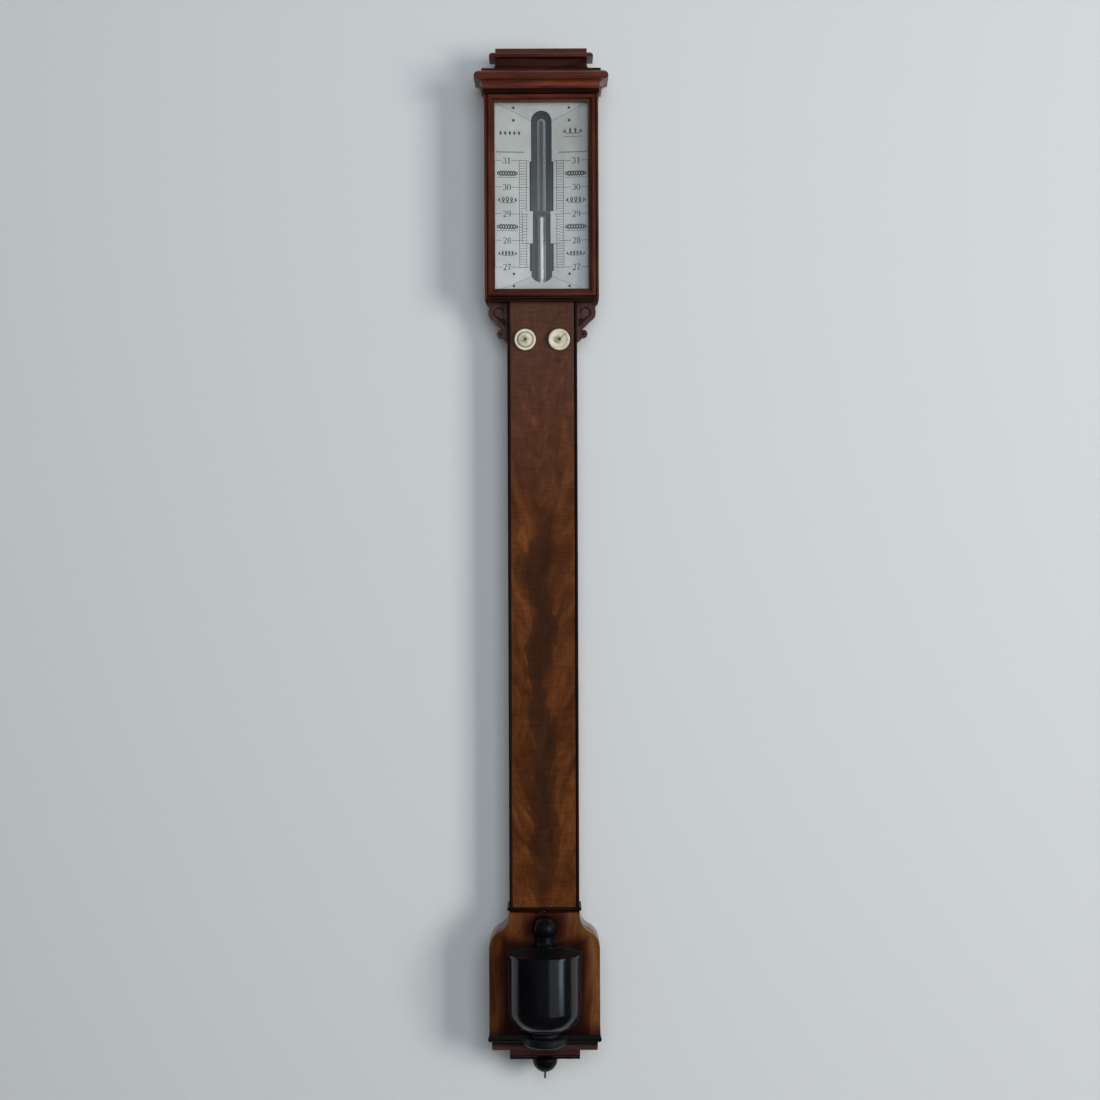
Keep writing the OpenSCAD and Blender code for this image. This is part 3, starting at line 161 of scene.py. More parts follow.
def unsigned(tree, amount):
    return maths(tree, "ABSOLUTE", amount)


def distance(tree, first, second):
    return maths(tree, "SQRT", plus(tree, times(tree, first, first), times(tree, second, second)))


def swing(tree, amount, reach):
    return times(tree, minus(tree, amount, 0.5), reach)


def axes(tree, point):
    made = tree.nodes.new("ShaderNodeSeparateXYZ")
    tree.links.new(point, made.inputs[0])
    return made.outputs


# how far up between two heights: 0 at the lower and below it, 1 at the upper and above it
def levelBetween(tree, point, span):
    return times(tree, minus(tree, axes(tree, point)[2], span[0]), 1 / (span[1] - span[0]))


def facing(tree):
    made = tree.nodes.new("ShaderNodeLayerWeight")
    made.inputs["Blend"].default_value = 0.5
    return made.outputs["Facing"]


def bumped(tree, shader, height, strength, depth):
    made = tree.nodes.new("ShaderNodeBump")
    setSockets(tree, made, {"Strength": strength, "Distance": depth, "Height": height})
    tree.links.new(made.outputs[0], shader.inputs["Normal"])


def heights(name):
    low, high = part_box(name)
    return low.z, high.z


# polished wood: a broad figure and fine fibres, both drawn out along the grain, with short dark pores;
# each has its waves to the metre and how much the grain draws it out
grain = {"figure": (95, 0.16), "fibre": (1100, 0.03), "pores": (2600, 0.03)}


def alongGrain(tree, point, kind, along):
    waves, drawn = grain[kind]
    return stretched(tree, point, [waves * (drawn if axis == along else 1) for axis in "xyz"])


def woodMaterial(name, look):
    mat, tree, shader = freshMaterial(name)
    point = objectPoint(tree)
    x, y, z = axes(tree, point)
    figure = noise(tree, alongGrain(tree, point, "figure", look["along"]), 3, 0.6, 0.8)
    fibre = noise(tree, alongGrain(tree, point, "fibre", look["along"]), 4, 0.6)
    pores = noise(tree, alongGrain(tree, point, "pores", look["along"]), 2, 0.5)
    tone = ramp(tree, figure, [(0.28, look["dark"]), (0.5, look["mid"]), (0.72, look["light"])])
    tone = tinted(tree, tone, fibre, [(0.3, 0.72), (0.7, 1.12)], 0.75)
    tone = tinted(tree, tone, pores, [(0.3, 0.45), (0.42, 1.0)], 0.55)
    if "bands" in look:
        # painted light and shade, told by height: parts of a moulding lighter where their faces catch the light and
        # darker where they lie in shade
        tone = tinted(tree, tone, levelBetween(tree, point, look["span"]), look["bands"])
    if "front" in look:
        # painted shade in the carving: anything behind the front face darkens within about a millimetre
        behind = times(tree, minus(tree, y, look["front"]), 250)
        tone = tinted(tree, tone, behind, [(0.05, 1.0), (0.3, 0.30), (1.0, 0.38)])
    if "channel" in look:
        # painted shade: near black inside the channel, near the middle and clear of the back, where the backboard shows
        # in the deep slot
        edge = look["channel"] * 20
        inner = ramp(tree, times(tree, unsigned(tree, x), 20), [(edge - 0.02, 1.0), (edge, 0.0)])
        forward = ramp(tree, times(tree, y, -100), [(0.2, 0.0), (0.3, 1.0)])
        tone = mixed(tree, times(tree, inner, forward), tone, (0.004, 0.0036, 0.0032))
    skin = ramp(tree, figure, [(0.25, look["gloss"] - 0.05), (0.75, look["gloss"] + 0.08)])
    if "underside" in look:
        # the lowest face was never polished
        lifted = times(tree, minus(tree, z, look["underside"]), 200)
        skin = mixed(tree, ramp(tree, lifted, [(0.1, 1.0), (0.14, 0.0)]), skin, (0.95, 0.95, 0.95))
    setSockets(tree, shader, {"Base Color": tone, "Roughness": skin, "Specular IOR Level": look["shine"]})
    bumped(tree, shader, fibre, 0.12, 0.0004)
    return mat


mahogany = {"dark": (0.036, 0.0092, 0.0058), "mid": (0.066, 0.0172, 0.0100), "light": (0.105, 0.0300, 0.0165),
            "along": "z", "gloss": 0.3, "shine": 0.22}
# painted shade: a darker copy of the mahogany for parts in shade, the cornice neck and its hollow, the soffit and floor
# of the head, the frieze and the foot block
shadedMahogany = {"dark": (0.012, 0.0026, 0.0020), "mid": (0.024, 0.0050, 0.0036), "light": (0.042, 0.0105, 0.0068),
            "along": "x", "gloss": 0.3, "shine": 0.22}
corniceSpan = (0.010, 0.060)
woods = {
    "mahoganyUp": mahogany,
    "mahoganyAcross": {**mahogany, "along": "x"},
    "mahoganyDark": shadedMahogany,
    # plinth, foot block, frieze and cornice: painted light and shade in their bands
    "plinthWood": {
        "dark": (0.022, 0.0085, 0.0070), "mid": (0.040, 0.0150, 0.0118), "light": (0.064, 0.0250, 0.0195),
        "along": "x", "gloss": 0.26, "shine": 0.3, "span": heights("base_moulding_lower"),
        "bands": [(0.1, 0.9), (0.22, 1.35), (0.5, 1.2), (0.75, 0.25)]},
    "footWood": {
        **shadedMahogany, "span": heights("base_foot_block"),
        "bands": [(0.02, 0.2), (0.40, 0.25), (0.46, (1.2, 1.7, 2.1)), (0.8, (1.3, 1.9, 2.3)), (1.0, 0.8)]},
    # the brackets: painted shade in the recesses of their carving
    "bracketWood": {
        "dark": (0.036, 0.0150, 0.0125), "mid": (0.062, 0.0270, 0.0225), "light": (0.090, 0.0420, 0.0350),
        "along": "z", "gloss": 0.3, "shine": 0.22, "front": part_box("bracket_left")[0].y},
    "sideWood": {**mahogany, "underside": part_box("head_side_left")[0].z},
    "friezeWood": {
        **shadedMahogany, "span": corniceSpan, "bands": [(0.118, (0.50, 0.22, 0.21)), (0.130, (3.6, 4.0, 4.2))]},
    "corniceWood": {
        **mahogany, "along": "x", "shine": 0.3, "span": corniceSpan,
        "bands": [(0.170, (1.9, 1.65, 1.45)), (0.300, (1.75, 1.5, 1.3)), (0.315, (1.25, 1.2, 1.1)),
                  (0.45, (1.4, 1.35, 1.2))]},
    "shoulderWood": {**mahogany, "gloss": 0.16, "shine": 0.5},
    # near black: painted shade for the register bed, seen only in the deep slot
    "blacked": {
        "dark": (0.004, 0.0035, 0.003), "mid": (0.006, 0.0054, 0.0048), "light": (0.010, 0.009, 0.008),
        "along": "z", "gloss": 0.6, "shine": 0.15},
    # the backboard, with painted shade in its channel
    "plankWood": {
        "dark": (0.060, 0.0220, 0.0115), "mid": (0.100, 0.0400, 0.0205), "light": (0.145, 0.0640, 0.0340),
        "along": "z", "gloss": 0.55, "shine": 0.2, "channel": 0.022},
    "boxwood": {
        "dark": (0.42, 0.28, 0.11), "mid": (0.52, 0.36, 0.16), "light": (0.60, 0.43, 0.21),
        "along": "z", "gloss": 0.5, "shine": 0.3},
}
materials = {name: woodMaterial(name, look) for name, look in woods.items()}
print("wood materials ready")


# ebonised wood: near black with a polished skin, faint red-brown where it has worn
def ebonyMaterial(name, look):
    mat, tree, shader = freshMaterial(name)
    point = objectPoint(tree)
    wear = noise(tree, stretched(tree, point, (60, 60, 35)), 5, 0.65, 0.4)
    fibre = noise(tree, stretched(tree, point, (900, 900, 40)), 3, 0.5)
    tone = ramp(tree, wear, [(0.35, look["dark"]), (0.62, look["mid"]), (0.8, look["light"])])
    tone = tinted(tree, tone, fibre, [(0.3, 0.7), (0.7, 1.15)], 0.5)
    rough = ramp(tree, wear, [(0.3, look["gloss"]), (0.8, look["gloss"] + 0.14)])
    if "dust" in look:
        # the sloping lid and the foot have gone dull
        rough = maths(tree, "MAXIMUM", rough, ramp(tree, levelBetween(tree, point, look["span"]), look["dust"]))
    setSockets(tree, shader, {"Base Color": tone, "Roughness": rough, "Specular IOR Level": look["shine"],
                              "Sheen Weight": look.get("sheen", 0.0), "Sheen Roughness": 0.25,
                              "Sheen Tint": (0.72, 0.86, 1.0)})
    bumped(tree, shader, fibre, 0.08, 0.0003)
    return mat


blackPolish = {"dark": (0.0012, 0.0013, 0.0019), "mid": (0.0020, 0.0020, 0.0027), "light": (0.0050, 0.0042, 0.0045),
               "gloss": 0.10, "shine": 0.5}
ebonies = {
    "ebony": blackPolish,
    "urnPolish": {
        **blackPolish, "sheen": 0.08, "span": heights("urn_cover"),
        "dust": [(0.0, 0.5), (0.15, 0.45), (0.18, 0.0), (0.935, 0.0), (0.95, 0.3)]},
    "ebonySatin": {**blackPolish, "gloss": 0.24, "shine": 0.24},
    "ebonyDull": {
        "dark": (0.0012, 0.0013, 0.0016), "mid": (0.0020, 0.0020, 0.0024), "light": (0.0050, 0.0042, 0.0042),
        "gloss": 0.32, "shine": 0.18},
    "ebonyRed": {
        "dark": (0.0065, 0.0026, 0.0024), "mid": (0.0115, 0.0042, 0.0036), "light": (0.0220, 0.0080, 0.0064),
        "gloss": 0.42, "shine": 0.12},
}
materials.update({name: ebonyMaterial(name, look) for name, look in ebonies.items()})


# flame veneer: a dark feather down the middle between two wandering edges, amber plumes to either side, fine ripple
def flameMaterial(name, look):
    mat, tree, shader = freshMaterial(name)
    point = objectPoint(tree)
    x, y, z = axes(tree, point)
    plume = tree.nodes.new("ShaderNodeCombineXYZ")
    put(tree, plume.inputs[0], x)
    put(tree, plume.inputs[2], minus(tree, z, times(tree, unsigned(tree, plus(tree, x, 0.003)), 1.3)))
    plume = plume.outputs[0]
    mottle = noise(tree, stretched(tree, plume, (40, 1, 24), look["shift"]), 5, 0.6, 0.9)
    ragged = noise(tree, stretched(tree, plume, (120, 1, 46)), 4, 0.62, 0.8)
    ripple = noise(tree, stretched(tree, point, (48, 1, 560)), 3, 0.55, 1.1)
    plumage = noise(tree, stretched(tree, plume, (230, 1, 60), (4.4, 0, 0.7)), 4, 0.62, 0.6)
    fibre = noise(tree, stretched(tree, point, (1500, 1, 60)), 3, 0.55)
    # inside the feather: past its left edge and short of its right edge, both ragged
    leftEdge = noise(tree, stretched(tree, point, (0, 0, 13), (3.1, 0, 0.4)), 2, 0.5)
    rightEdge = noise(tree, stretched(tree, point, (0, 0, 11), (7.7, 0, 2.6)), 2, 0.5)
    leftPast = plus(tree, minus(tree, x, swing(tree, leftEdge, 0.050)), 0.012)
    rightShort = plus(tree, minus(tree, swing(tree, rightEdge, 0.050), x), 0.008)
    inside = plus(tree, maths(tree, "MINIMUM", leftPast, rightShort), swing(tree, ragged, 0.026))
    inside = plus(tree, inside, swing(tree, plumage, 0.012))
    feather = ramp(tree, plus(tree, times(tree, inside, 80), 0.5), [(0.30, 0.0), (0.52, 0.75), (0.80, 1.0)])
    # the feather is faint at the top of the trunk and fades again at the foot
    down = times(tree, plus(tree, z, 0.30), -2.08)
    depth = ramp(tree, down, [(0.0, 0.0), (0.14, 0.22), (0.27, 0.85), (0.84, 0.85), (0.94, 0.5), (1.0, 0.35)])
    tone = ramp(tree, mottle, [(0.30, look["dark"]), (0.45, look["mid"]), (0.58, look["light"]), (0.72, look["amber"])])
    tone = mixed(tree, times(tree, feather, depth), tone, look["feather"])
    plain = ramp(tree, plus(tree, times(tree, z, 6.0), 2.3), [(0.0, 0.0), (1.0, 0.9)])
    tone = mixed(tree, plain, tone, look["plain"])
    tone = tinted(tree, tone, ripple, [(0.3, 0.76), (0.7, 1.22)], 0.9)
    tone = tinted(tree, tone, ragged, [(0.32, 0.74), (0.66, 1.22)], 0.8)
    tone = tinted(tree, tone, plumage, [(0.32, 0.78), (0.62, 1.1), (0.74, 1.45)], 0.6)
    tone = tinted(tree, tone, fibre, [(0.3, 0.75), (0.7, 1.15)], 0.4)
    skin = ramp(tree, mottle, [(0.3, look["gloss"]), (0.7, look["gloss"] + 0.08)])
    setSockets(tree, shader, {"Base Color": tone, "Roughness": skin, "Specular IOR Level": look["shine"]})
    bumped(tree, shader, fibre, 0.06, 0.0003)
    return mat


materials["flame"] = flameMaterial("flame", {
    "dark": (0.043, 0.0114, 0.0025), "mid": (0.072, 0.0195, 0.0036), "light": (0.104, 0.0297, 0.0052),
    "amber": (0.156, 0.0500, 0.0085), "feather": (0.029, 0.0092, 0.0036), "plain": (0.070, 0.0285, 0.0185),
    "shift": (0.4, 0, 1.9), "gloss": 0.32, "shine": 0.18})


# base veneer: upright orange-brown grain with short dark flecks, paler to the right; painted shade darkens it round the
# cover and the ball, and just above the foot moulding
def baseMaterial(name, look):
    mat, tree, shader = freshMaterial(name)
    point = objectPoint(tree)
    x, y, z = axes(tree, point)
    figure = noise(tree, stretched(tree, point, (70, 1, 12)), 4, 0.6, 0.9)
    fibre = noise(tree, stretched(tree, point, (1000, 1, 34)), 4, 0.6)
    fleck = noise(tree, stretched(tree, point, (620, 1, 90)), 2, 0.5)
    where = noise(tree, stretched(tree, point, (55, 1, 30), (2.7, 0, 0.8)), 2, 0.5)
    tone = ramp(tree, figure, [(0.28, look["dark"]), (0.48, look["mid"]), (0.70, look["light"])])
    tone = tinted(tree, tone, plus(tree, times(tree, x, 9.0), 0.5), look["across"])
    tone = tinted(tree, tone, fibre, [(0.3, 0.66), (0.7, 1.2)], 0.85)
    dots = times(tree, ramp(tree, fleck, [(0.30, 1.0), (0.38, 0.0)]), ramp(tree, where, [(0.42, 0.2), (0.6, 1.0)]))
    tone = mixed(tree, times(tree, dots, 0.75), tone, look["fleck"])
    # distance from the cover's side or lid, and from the ball above it, whichever is nearer
    cover, ball = look["cover"], look["ball"]
    above = minus(tree, z, cover["top"] + cover["lid"])
    coverAway = maths(tree, "MAXIMUM", minus(tree, unsigned(tree, x), cover["half"]), above)
    ballAway = minus(tree, distance(tree, x, minus(tree, z, ball["level"])), ball["radius"])
    away = maths(tree, "MINIMUM", coverAway, times(tree, ballAway, 0.6))
    # painted shade: darker near the cover and the ball
    tone = tinted(tree, tone, plus(tree, times(tree, away, 80), swing(tree, where, 0.5)), look["grime"])
    # painted shade: darker just above the foot moulding
    tone = tinted(tree, tone, times(tree, minus(tree, z, look["foot"]), 60), look["footing"])
    skin = ramp(tree, figure, [(0.3, look["gloss"]), (0.7, look["gloss"] + 0.1)])
    setSockets(tree, shader, {"Base Color": tone, "Roughness": skin, "Specular IOR Level": look["shine"]})
    bumped(tree, shader, fibre, 0.08, 0.0003)
    return mat


cover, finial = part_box("urn_cover"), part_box("urn_finial")
ballRadius = (finial[1].x - finial[0].x) / 2
materials["base"] = baseMaterial("baseVeneer", {
    "dark": (0.050, 0.0140, 0.0042), "mid": (0.094, 0.0310, 0.0085), "light": (0.150, 0.0600, 0.0190),
    "fleck": (0.020, 0.0070, 0.0040), "gloss": 0.24, "shine": 0.22,
    "across": [(0.0, (0.84, 0.74, 0.62)), (0.6, (1.0, 0.98, 0.95)), (1.0, (1.35, 1.5, 1.65))],
    "grime": [(0.0, (0.16, 0.10, 0.10)), (0.25, (0.42, 0.26, 0.24)), (0.7, (0.86, 0.72, 0.66)), (1.0, 1.0)],
    "footing": [(0.0, (0.22, 0.14, 0.15)), (0.3, (0.52, 0.38, 0.38)), (0.9, 1.0)],
    "foot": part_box("base_moulding_upper")[1].z,
    "cover": {"half": cover[1].x, "top": cover[1].z, "lid": 0.003},
    "ball": {"level": finial[1].z - ballRadius, "radius": ballRadius}})
print("veneers ready")


# metals, leather, cork and ink: a base colour with a soft cloud of tarnish or wear
def plainMaterial(name, look):
    mat, tree, shader = freshMaterial(name)
    point = objectPoint(tree)
    cloud = noise(tree, stretched(tree, point, look.get("cloud", (45, 45, 45))), 5, 0.62, 0.3)
    grit = noise(tree, stretched(tree, point, look.get("grit", (900, 900, 900))), 3, 0.55)
    tone = ramp(tree, cloud, [(0.3, look["dark"]), (0.55, look["mid"]), (0.75, look["light"])])
    tone = tinted(tree, tone, grit, [(0.3, look.get("speck", 0.8)), (0.65, 1.08)], 0.5)
    if "rising" in look:
        # painted light: paler towards the bottom of the register
        tone = tinted(tree, tone, levelBetween(tree, point, upperRegister), look["rising"])
    if "middle" in look:
        # a strip down the middle of the object is made far darker
        reach = times(tree, unsigned(tree, axes(tree, point)[0]), 0.5 / look["middle"])
        tone = tinted(tree, tone, reach, [(0.48, 0.05), (0.52, 1.0)])
    if "edge" in look:
        # painted reflection: a polished round is pale face-on and shows the dark room at its edges
        tone = tinted(tree, tone, facing(tree), look["edge"])
    skin = ramp(tree, cloud, [(0.3, look["gloss"] + 0.08), (0.75, look["gloss"] - 0.04)])
    setSockets(tree, shader, {"Base Color": tone, "Roughness": skin, "Metallic": look.get("metal", 0.0),
                              "Specular IOR Level": look.get("shine", 0.5)})
    bumped(tree, shader, grit, look.get("bump", 0.05), 0.0002)
    return mat


# heights of the register's middle figure and of its highest one
upperRegister = (-0.10, -0.05)
# silvered plates, with painted light paler towards the bottom of the register
silver = {"dark": (0.335, 0.345, 0.322), "mid": (0.400, 0.412, 0.392), "light": (0.455, 0.468, 0.450), "gloss": 0.42,
          "metal": 0.15, "cloud": (28, 28, 20), "speck": 0.9, "rising": [(0.0, (1.17, 1.18, 1.21)), (1.0, 1.0)]}
plains = {
    "silvered": silver,
    "vernier": {**silver, "middle": 0.0084},
    "dulled": {
        "dark": (0.030, 0.032, 0.034), "mid": (0.042, 0.045, 0.047), "light": (0.060, 0.064, 0.066),
        "gloss": 0.45, "metal": 0.2, "shine": 0.2},
    "tarnished": {
        "dark": (0.012, 0.011, 0.009), "mid": (0.024, 0.021, 0.016), "light": (0.045, 0.038, 0.026),
        "gloss": 0.45, "metal": 0.7},
    "brass": {
        "dark": (0.30, 0.19, 0.06), "mid": (0.46, 0.31, 0.11), "light": (0.56, 0.40, 0.17),
        "gloss": 0.33, "metal": 0.9},
    "steel": {
        "dark": (0.14, 0.14, 0.15), "mid": (0.24, 0.24, 0.25), "light": (0.34, 0.34, 0.35),
        "gloss": 0.36, "metal": 0.9},
    # mercury: painted reflection, pale face-on and dark at the edges
    "mercury": {
        "dark": (0.78, 0.79, 0.80), "mid": (0.84, 0.85, 0.86), "light": (0.88, 0.89, 0.90), "gloss": 0.26,
        "metal": 0.3, "speck": 0.98, "bump": 0.0, "edge": [(0.0, 1.0), (0.10, 0.95), (0.22, 0.22), (1.0, 0.14)]},
    "leather": {
        "dark": (0.26, 0.17, 0.09), "mid": (0.36, 0.25, 0.14), "light": (0.44, 0.32, 0.19),
        "gloss": 0.62, "speck": 0.7, "bump": 0.3, "shine": 0.25},
    "cork": {
        "dark": (0.26, 0.15, 0.07), "mid": (0.40, 0.25, 0.13), "light": (0.48, 0.32, 0.18),
        "gloss": 0.75, "speck": 0.5, "grit": (700, 700, 700), "bump": 0.4, "shine": 0.2},
    "ink": {
        "dark": (0.016, 0.017, 0.016), "mid": (0.028, 0.030, 0.028), "light": (0.060, 0.063, 0.058),
        "gloss": 0.5, "cloud": (220, 220, 220)},
}
materials.update({name: plainMaterial(name, look) for name, look in plains.items()})


# bone keys: rings left by the lathe with a dark groove, a pitted worn middle, a drying crack; on the right key the
# rings also hold painted shade
def boneMaterial(name, look):
    mat, tree, shader = freshMaterial(name)
    point = objectPoint(tree)
    x, y, z = axes(tree, point)
    right = minus(tree, x, look["centre"][0])
    up = minus(tree, z, look["centre"][1])
    reach = times(tree, distance(tree, right, up), 1 / look["radius"])
    cloud = noise(tree, stretched(tree, point, (190, 190, 190)), 5, 0.62, 0.4)
    grit = noise(tree, stretched(tree, point, (1500, 600, 420)), 3, 0.55)
    pits = noise(tree, stretched(tree, point, (820, 820, 820)), 3, 0.6)
    tone = ramp(tree, cloud, [(0.3, look["dark"]), (0.52, look["mid"]), (0.72, look["light"])])
    tone = tinted(tree, tone, grit, [(0.3, 0.84), (0.65, 1.06)], 0.5)
    tone = tinted(tree, tone, plus(tree, reach, swing(tree, cloud, 0.06)), look["rings"])
    worn = times(tree, ramp(tree, reach, look["worn"]), ramp(tree, pits, [(0.38, 0.0), (0.58, 0.85)]))
    tone = mixed(tree, worn, tone, look["dirt"])
    if "crack" in look:
        # how far along and how far off a line that runs out from the middle
        cosine, sine = math.cos(math.radians(look["crack"])), math.sin(math.radians(look["crack"]))
        along = plus(tree, times(tree, right, cosine), times(tree, up, sine))
        off = minus(tree, times(tree, up, cosine), times(tree, right, sine))
        off = plus(tree, off, swing(tree, pits, 0.0006))
        thin = ramp(tree, times(tree, unsigned(tree, off), 1000), [(0.22, 0.9), (0.5, 0.0)])
        outward = times(tree, along, 1 / look["radius"])
        run = ramp(tree, outward, [(0.05, 0.0), (0.12, 1.0), (0.7, 1.0), (0.85, 0.0)])
        tone = mixed(tree, times(tree, thin, run), tone, look["dirt"])
        # scratches on the lower half
        scratch = noise(tree, stretched(tree, point, (300, 1, 1500)), 2, 0.5, 0.6)
        low = ramp(tree, times(tree, up, -1 / look["radius"]), [(0.35, 0.0), (0.6, 0.7)])
        scratched = times(tree, low, ramp(tree, scratch, [(0.58, 0.0), (0.66, 0.8)]))
        tone = mixed(tree, scratched, tone, look["scratch"])
    skin = ramp(tree, cloud, [(0.3, 0.42), (0.75, 0.30)])
    setSockets(tree, shader, {"Base Color": tone, "Roughness": skin})
    bumped(tree, shader, minus(tree, grit, worn), 0.15, 0.0002)
    return mat


keyLook = {"dark": (0.50, 0.450, 0.335), "mid": (0.620, 0.565, 0.440), "light": (0.720, 0.665, 0.530),
           "dirt": (0.090, 0.066, 0.040), "scratch": (0.250, 0.225, 0.160)}
keyBox = {word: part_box("key_disc_" + word) for word in ("left", "right")}
keyPlace = {word: {"centre": ((low.x + high.x) / 2, (low.z + high.z) / 2), "radius": (high.x - low.x) / 2}
            for word, (low, high) in keyBox.items()}
materials["boneLeft"] = boneMaterial("boneLeft", {
    **keyLook, **keyPlace["left"], "worn": [(0.0, 1.0), (0.30, 0.95), (0.50, 0.0)],
    "rings": [(0.28, 1.0), (0.55, 1.06), (0.66, (0.52, 0.53, 0.46)), (0.73, (0.50, 0.50, 0.43)), (0.80, 1.05),
              (0.93, 1.02), (1.0, 0.72)]})
# painted shade on the right key: a dark ring round the pin and a grey dish round the middle
materials["boneRight"] = boneMaterial("boneRight", {
    **keyLook, **keyPlace["right"], "worn": [(0.0, 1.0), (0.10, 1.0), (0.2, 0.0)], "crack": 44,
    "rings": [(0.06, (0.42, 0.34, 0.18)), (0.13, (0.20, 0.17, 0.12)), (0.20, (0.72, 0.72, 0.64)), (0.45, 0.98),
              (0.84, 1.04), (0.90, 0.86), (0.94, 1.04), (1.0, 0.74)]})


# thin clear glass: mostly see-through, with its own gloss
def glassMaterial(name, look):
    mat, tree, shader = freshMaterial(name)
    point = objectPoint(tree)
    smear = noise(tree, stretched(tree, point, (30, 30, 14)), 4, 0.6, 0.5)
    skin = ramp(tree, smear, [(0.35, look["gloss"]), (0.75, look["gloss"] + 0.05)])
    if "rim" in look:
        # painted highlight: two pale lines down the tube where its surface turns edge-on
        alpha = ramp(tree, facing(tree), look["rim"])
    else:
        # the pane's pale veil is a painted reflection, stronger on its lower half
        alpha = ramp(tree, levelBetween(tree, point, upperRegister), look["haze"])
    setSockets(tree, shader, {"Base Color": look["tint"], "Roughness": skin, "Alpha": alpha, "IOR": 1.5})
    return mat


materials["pane"] = glassMaterial("pane", {
    "tint": (0.72, 0.80, 0.84), "haze": [(0.0, 0.050), (1.0, 0.025)], "gloss": 0.03})
materials["tube"] = glassMaterial("tube", {
    "tint": (0.78, 0.82, 0.83), "rim": [(0.0, 0.02), (0.35, 0.04), (0.43, 0.9), (0.51, 0.05), (1.0, 0.10)],
    "gloss": 0.05})

bySlot = {"mahogany": "mahoganyUp", "flame_veneer": "flame", "base_veneer": "base", "ebonised_wood": "ebony",
          "silvered_brass": "silvered", "dulled_brass": "dulled", "brass": "brass", "door_glass": "pane",
          "tube_glass": "tube", "mercury": "mercury", "boxwood": "boxwood", "leather": "leather", "cork": "cork",
          "steel": "steel"}
# the cornice neck, soffit, head floor, frieze and foot block take a darker copy of the mahogany as painted shade
ownLook = {"cornice_cap": "mahoganyAcross", "door_rail_top": "mahoganyAcross", "door_rail_foot": "mahoganyAcross",
           "frieze_moulding": "friezeWood", "cornice_nosing": "corniceWood", "cornice_neck": "mahoganyDark",
           "head_soffit": "mahoganyDark", "head_floor": "mahoganyDark", "base_foot_block": "footWood",
           "base_moulding_lower": "plinthWood", "base_block": "shoulderWood", "register_bed": "blacked",
           "backboard": "plankWood", "bracket_left": "bracketWood", "bracket_right": "bracketWood",
           "head_side_left": "sideWood", "head_side_right": "sideWood",
           "urn_cover": "urnPolish", "urn_finial": "ebonySatin", "base_boss": "ebonyDull",
           "rack_left": "tarnished", "rack_right": "tarnished", "door_pins": "tarnished",
           "vernier_left": "vernier", "vernier_right": "vernier",
           "key_disc_left": "boneLeft", "key_disc_right": "boneRight",
           "trunk_foot_bead": "ebonyRed", "trunk_bead_left": "ebonyRed", "trunk_bead_right": "ebonyRed"}
slotOf = {part["node"]: part["material_slot"] for part in frame["record"]["subparts"]}
for name, node in nodes.items():
    node.data.materials.clear()
    node.data.materials.append(materials[ownLook.get(name) or bySlot[slotOf[name]]])
print("materials on", len(nodes), "nodes")

# edges of the woodwork and the keys are a little worn: welded, then rounded by a width for each slot
softened = {"mahogany": 0.0004, "ebonised_wood": 0.0003, "base_veneer": 0.0005, "bone": 0.0003}
rounding = {"weld": 0.00001, "segments": 2, "angle": math.radians(38)}
leftSharp = {"trunk_bead_left", "trunk_bead_right", "trunk_foot_bead"}
evened = {"urn_cover"}
for name, node in nodes.items():
    if slotOf[name] not in softened or name in leftSharp:
        continue
    weld = node.modifiers.new("weld", "WELD")
    weld.merge_threshold = rounding["weld"]
    bevel = node.modifiers.new("soften", "BEVEL")
    bevel.width = softened[slotOf[name]]
    bevel.segments = rounding["segments"]
    bevel.limit_method = "ANGLE"
    bevel.angle_limit = rounding["angle"]
    bevel.harden_normals = name not in evened
    if name in evened:
        # keeps the long reflections straight
        even = node.modifiers.new("even", "WEIGHTED_NORMAL")
        even.weight = 100


# numpy surfaces: each mesh is written in one go
def meshPiece(name, points, faces, material, body):
    mesh = bpy.data.meshes.new(name)
    mesh.from_pydata(np.asarray(points, float).reshape(-1, 3), [], [tuple(face) for face in faces])
    mesh.update()
    mesh.materials.append(material)
    piece = bpy.data.objects.new(name, mesh)
    stage.collection.objects.link(piece)
    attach(piece, body)
    return piece


def cornersOf(name):
    mesh = nodes[name].data
    points = np.empty(len(mesh.vertices) * 3)
    mesh.vertices.foreach_get("co", points)
    return points.reshape(-1, 3)


# the bag under the cistern and the mercury in it, made at rest; on the object they give way as the portable screw rises
bagBox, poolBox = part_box("leather_bag"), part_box("cistern_mercury")
cistern = {"depth": (bagBox[0].y + bagBox[1].y) / 2, "bag": 0.0123, "skin": 0.001, "corner": 0.005, "clear": 0.00005,
           "dip": 0.007, "tube": 0.00425, "push": 0.007, "steps": 9}
bagTop, poolTop, inside = bagBox[1].z, poolBox[1].z, cistern["skin"] + cistern["clear"]
brim, poolReach = (bagBox[1].x - bagBox[0].x) / 2, (poolBox[1].x - poolBox[0].x) / 2


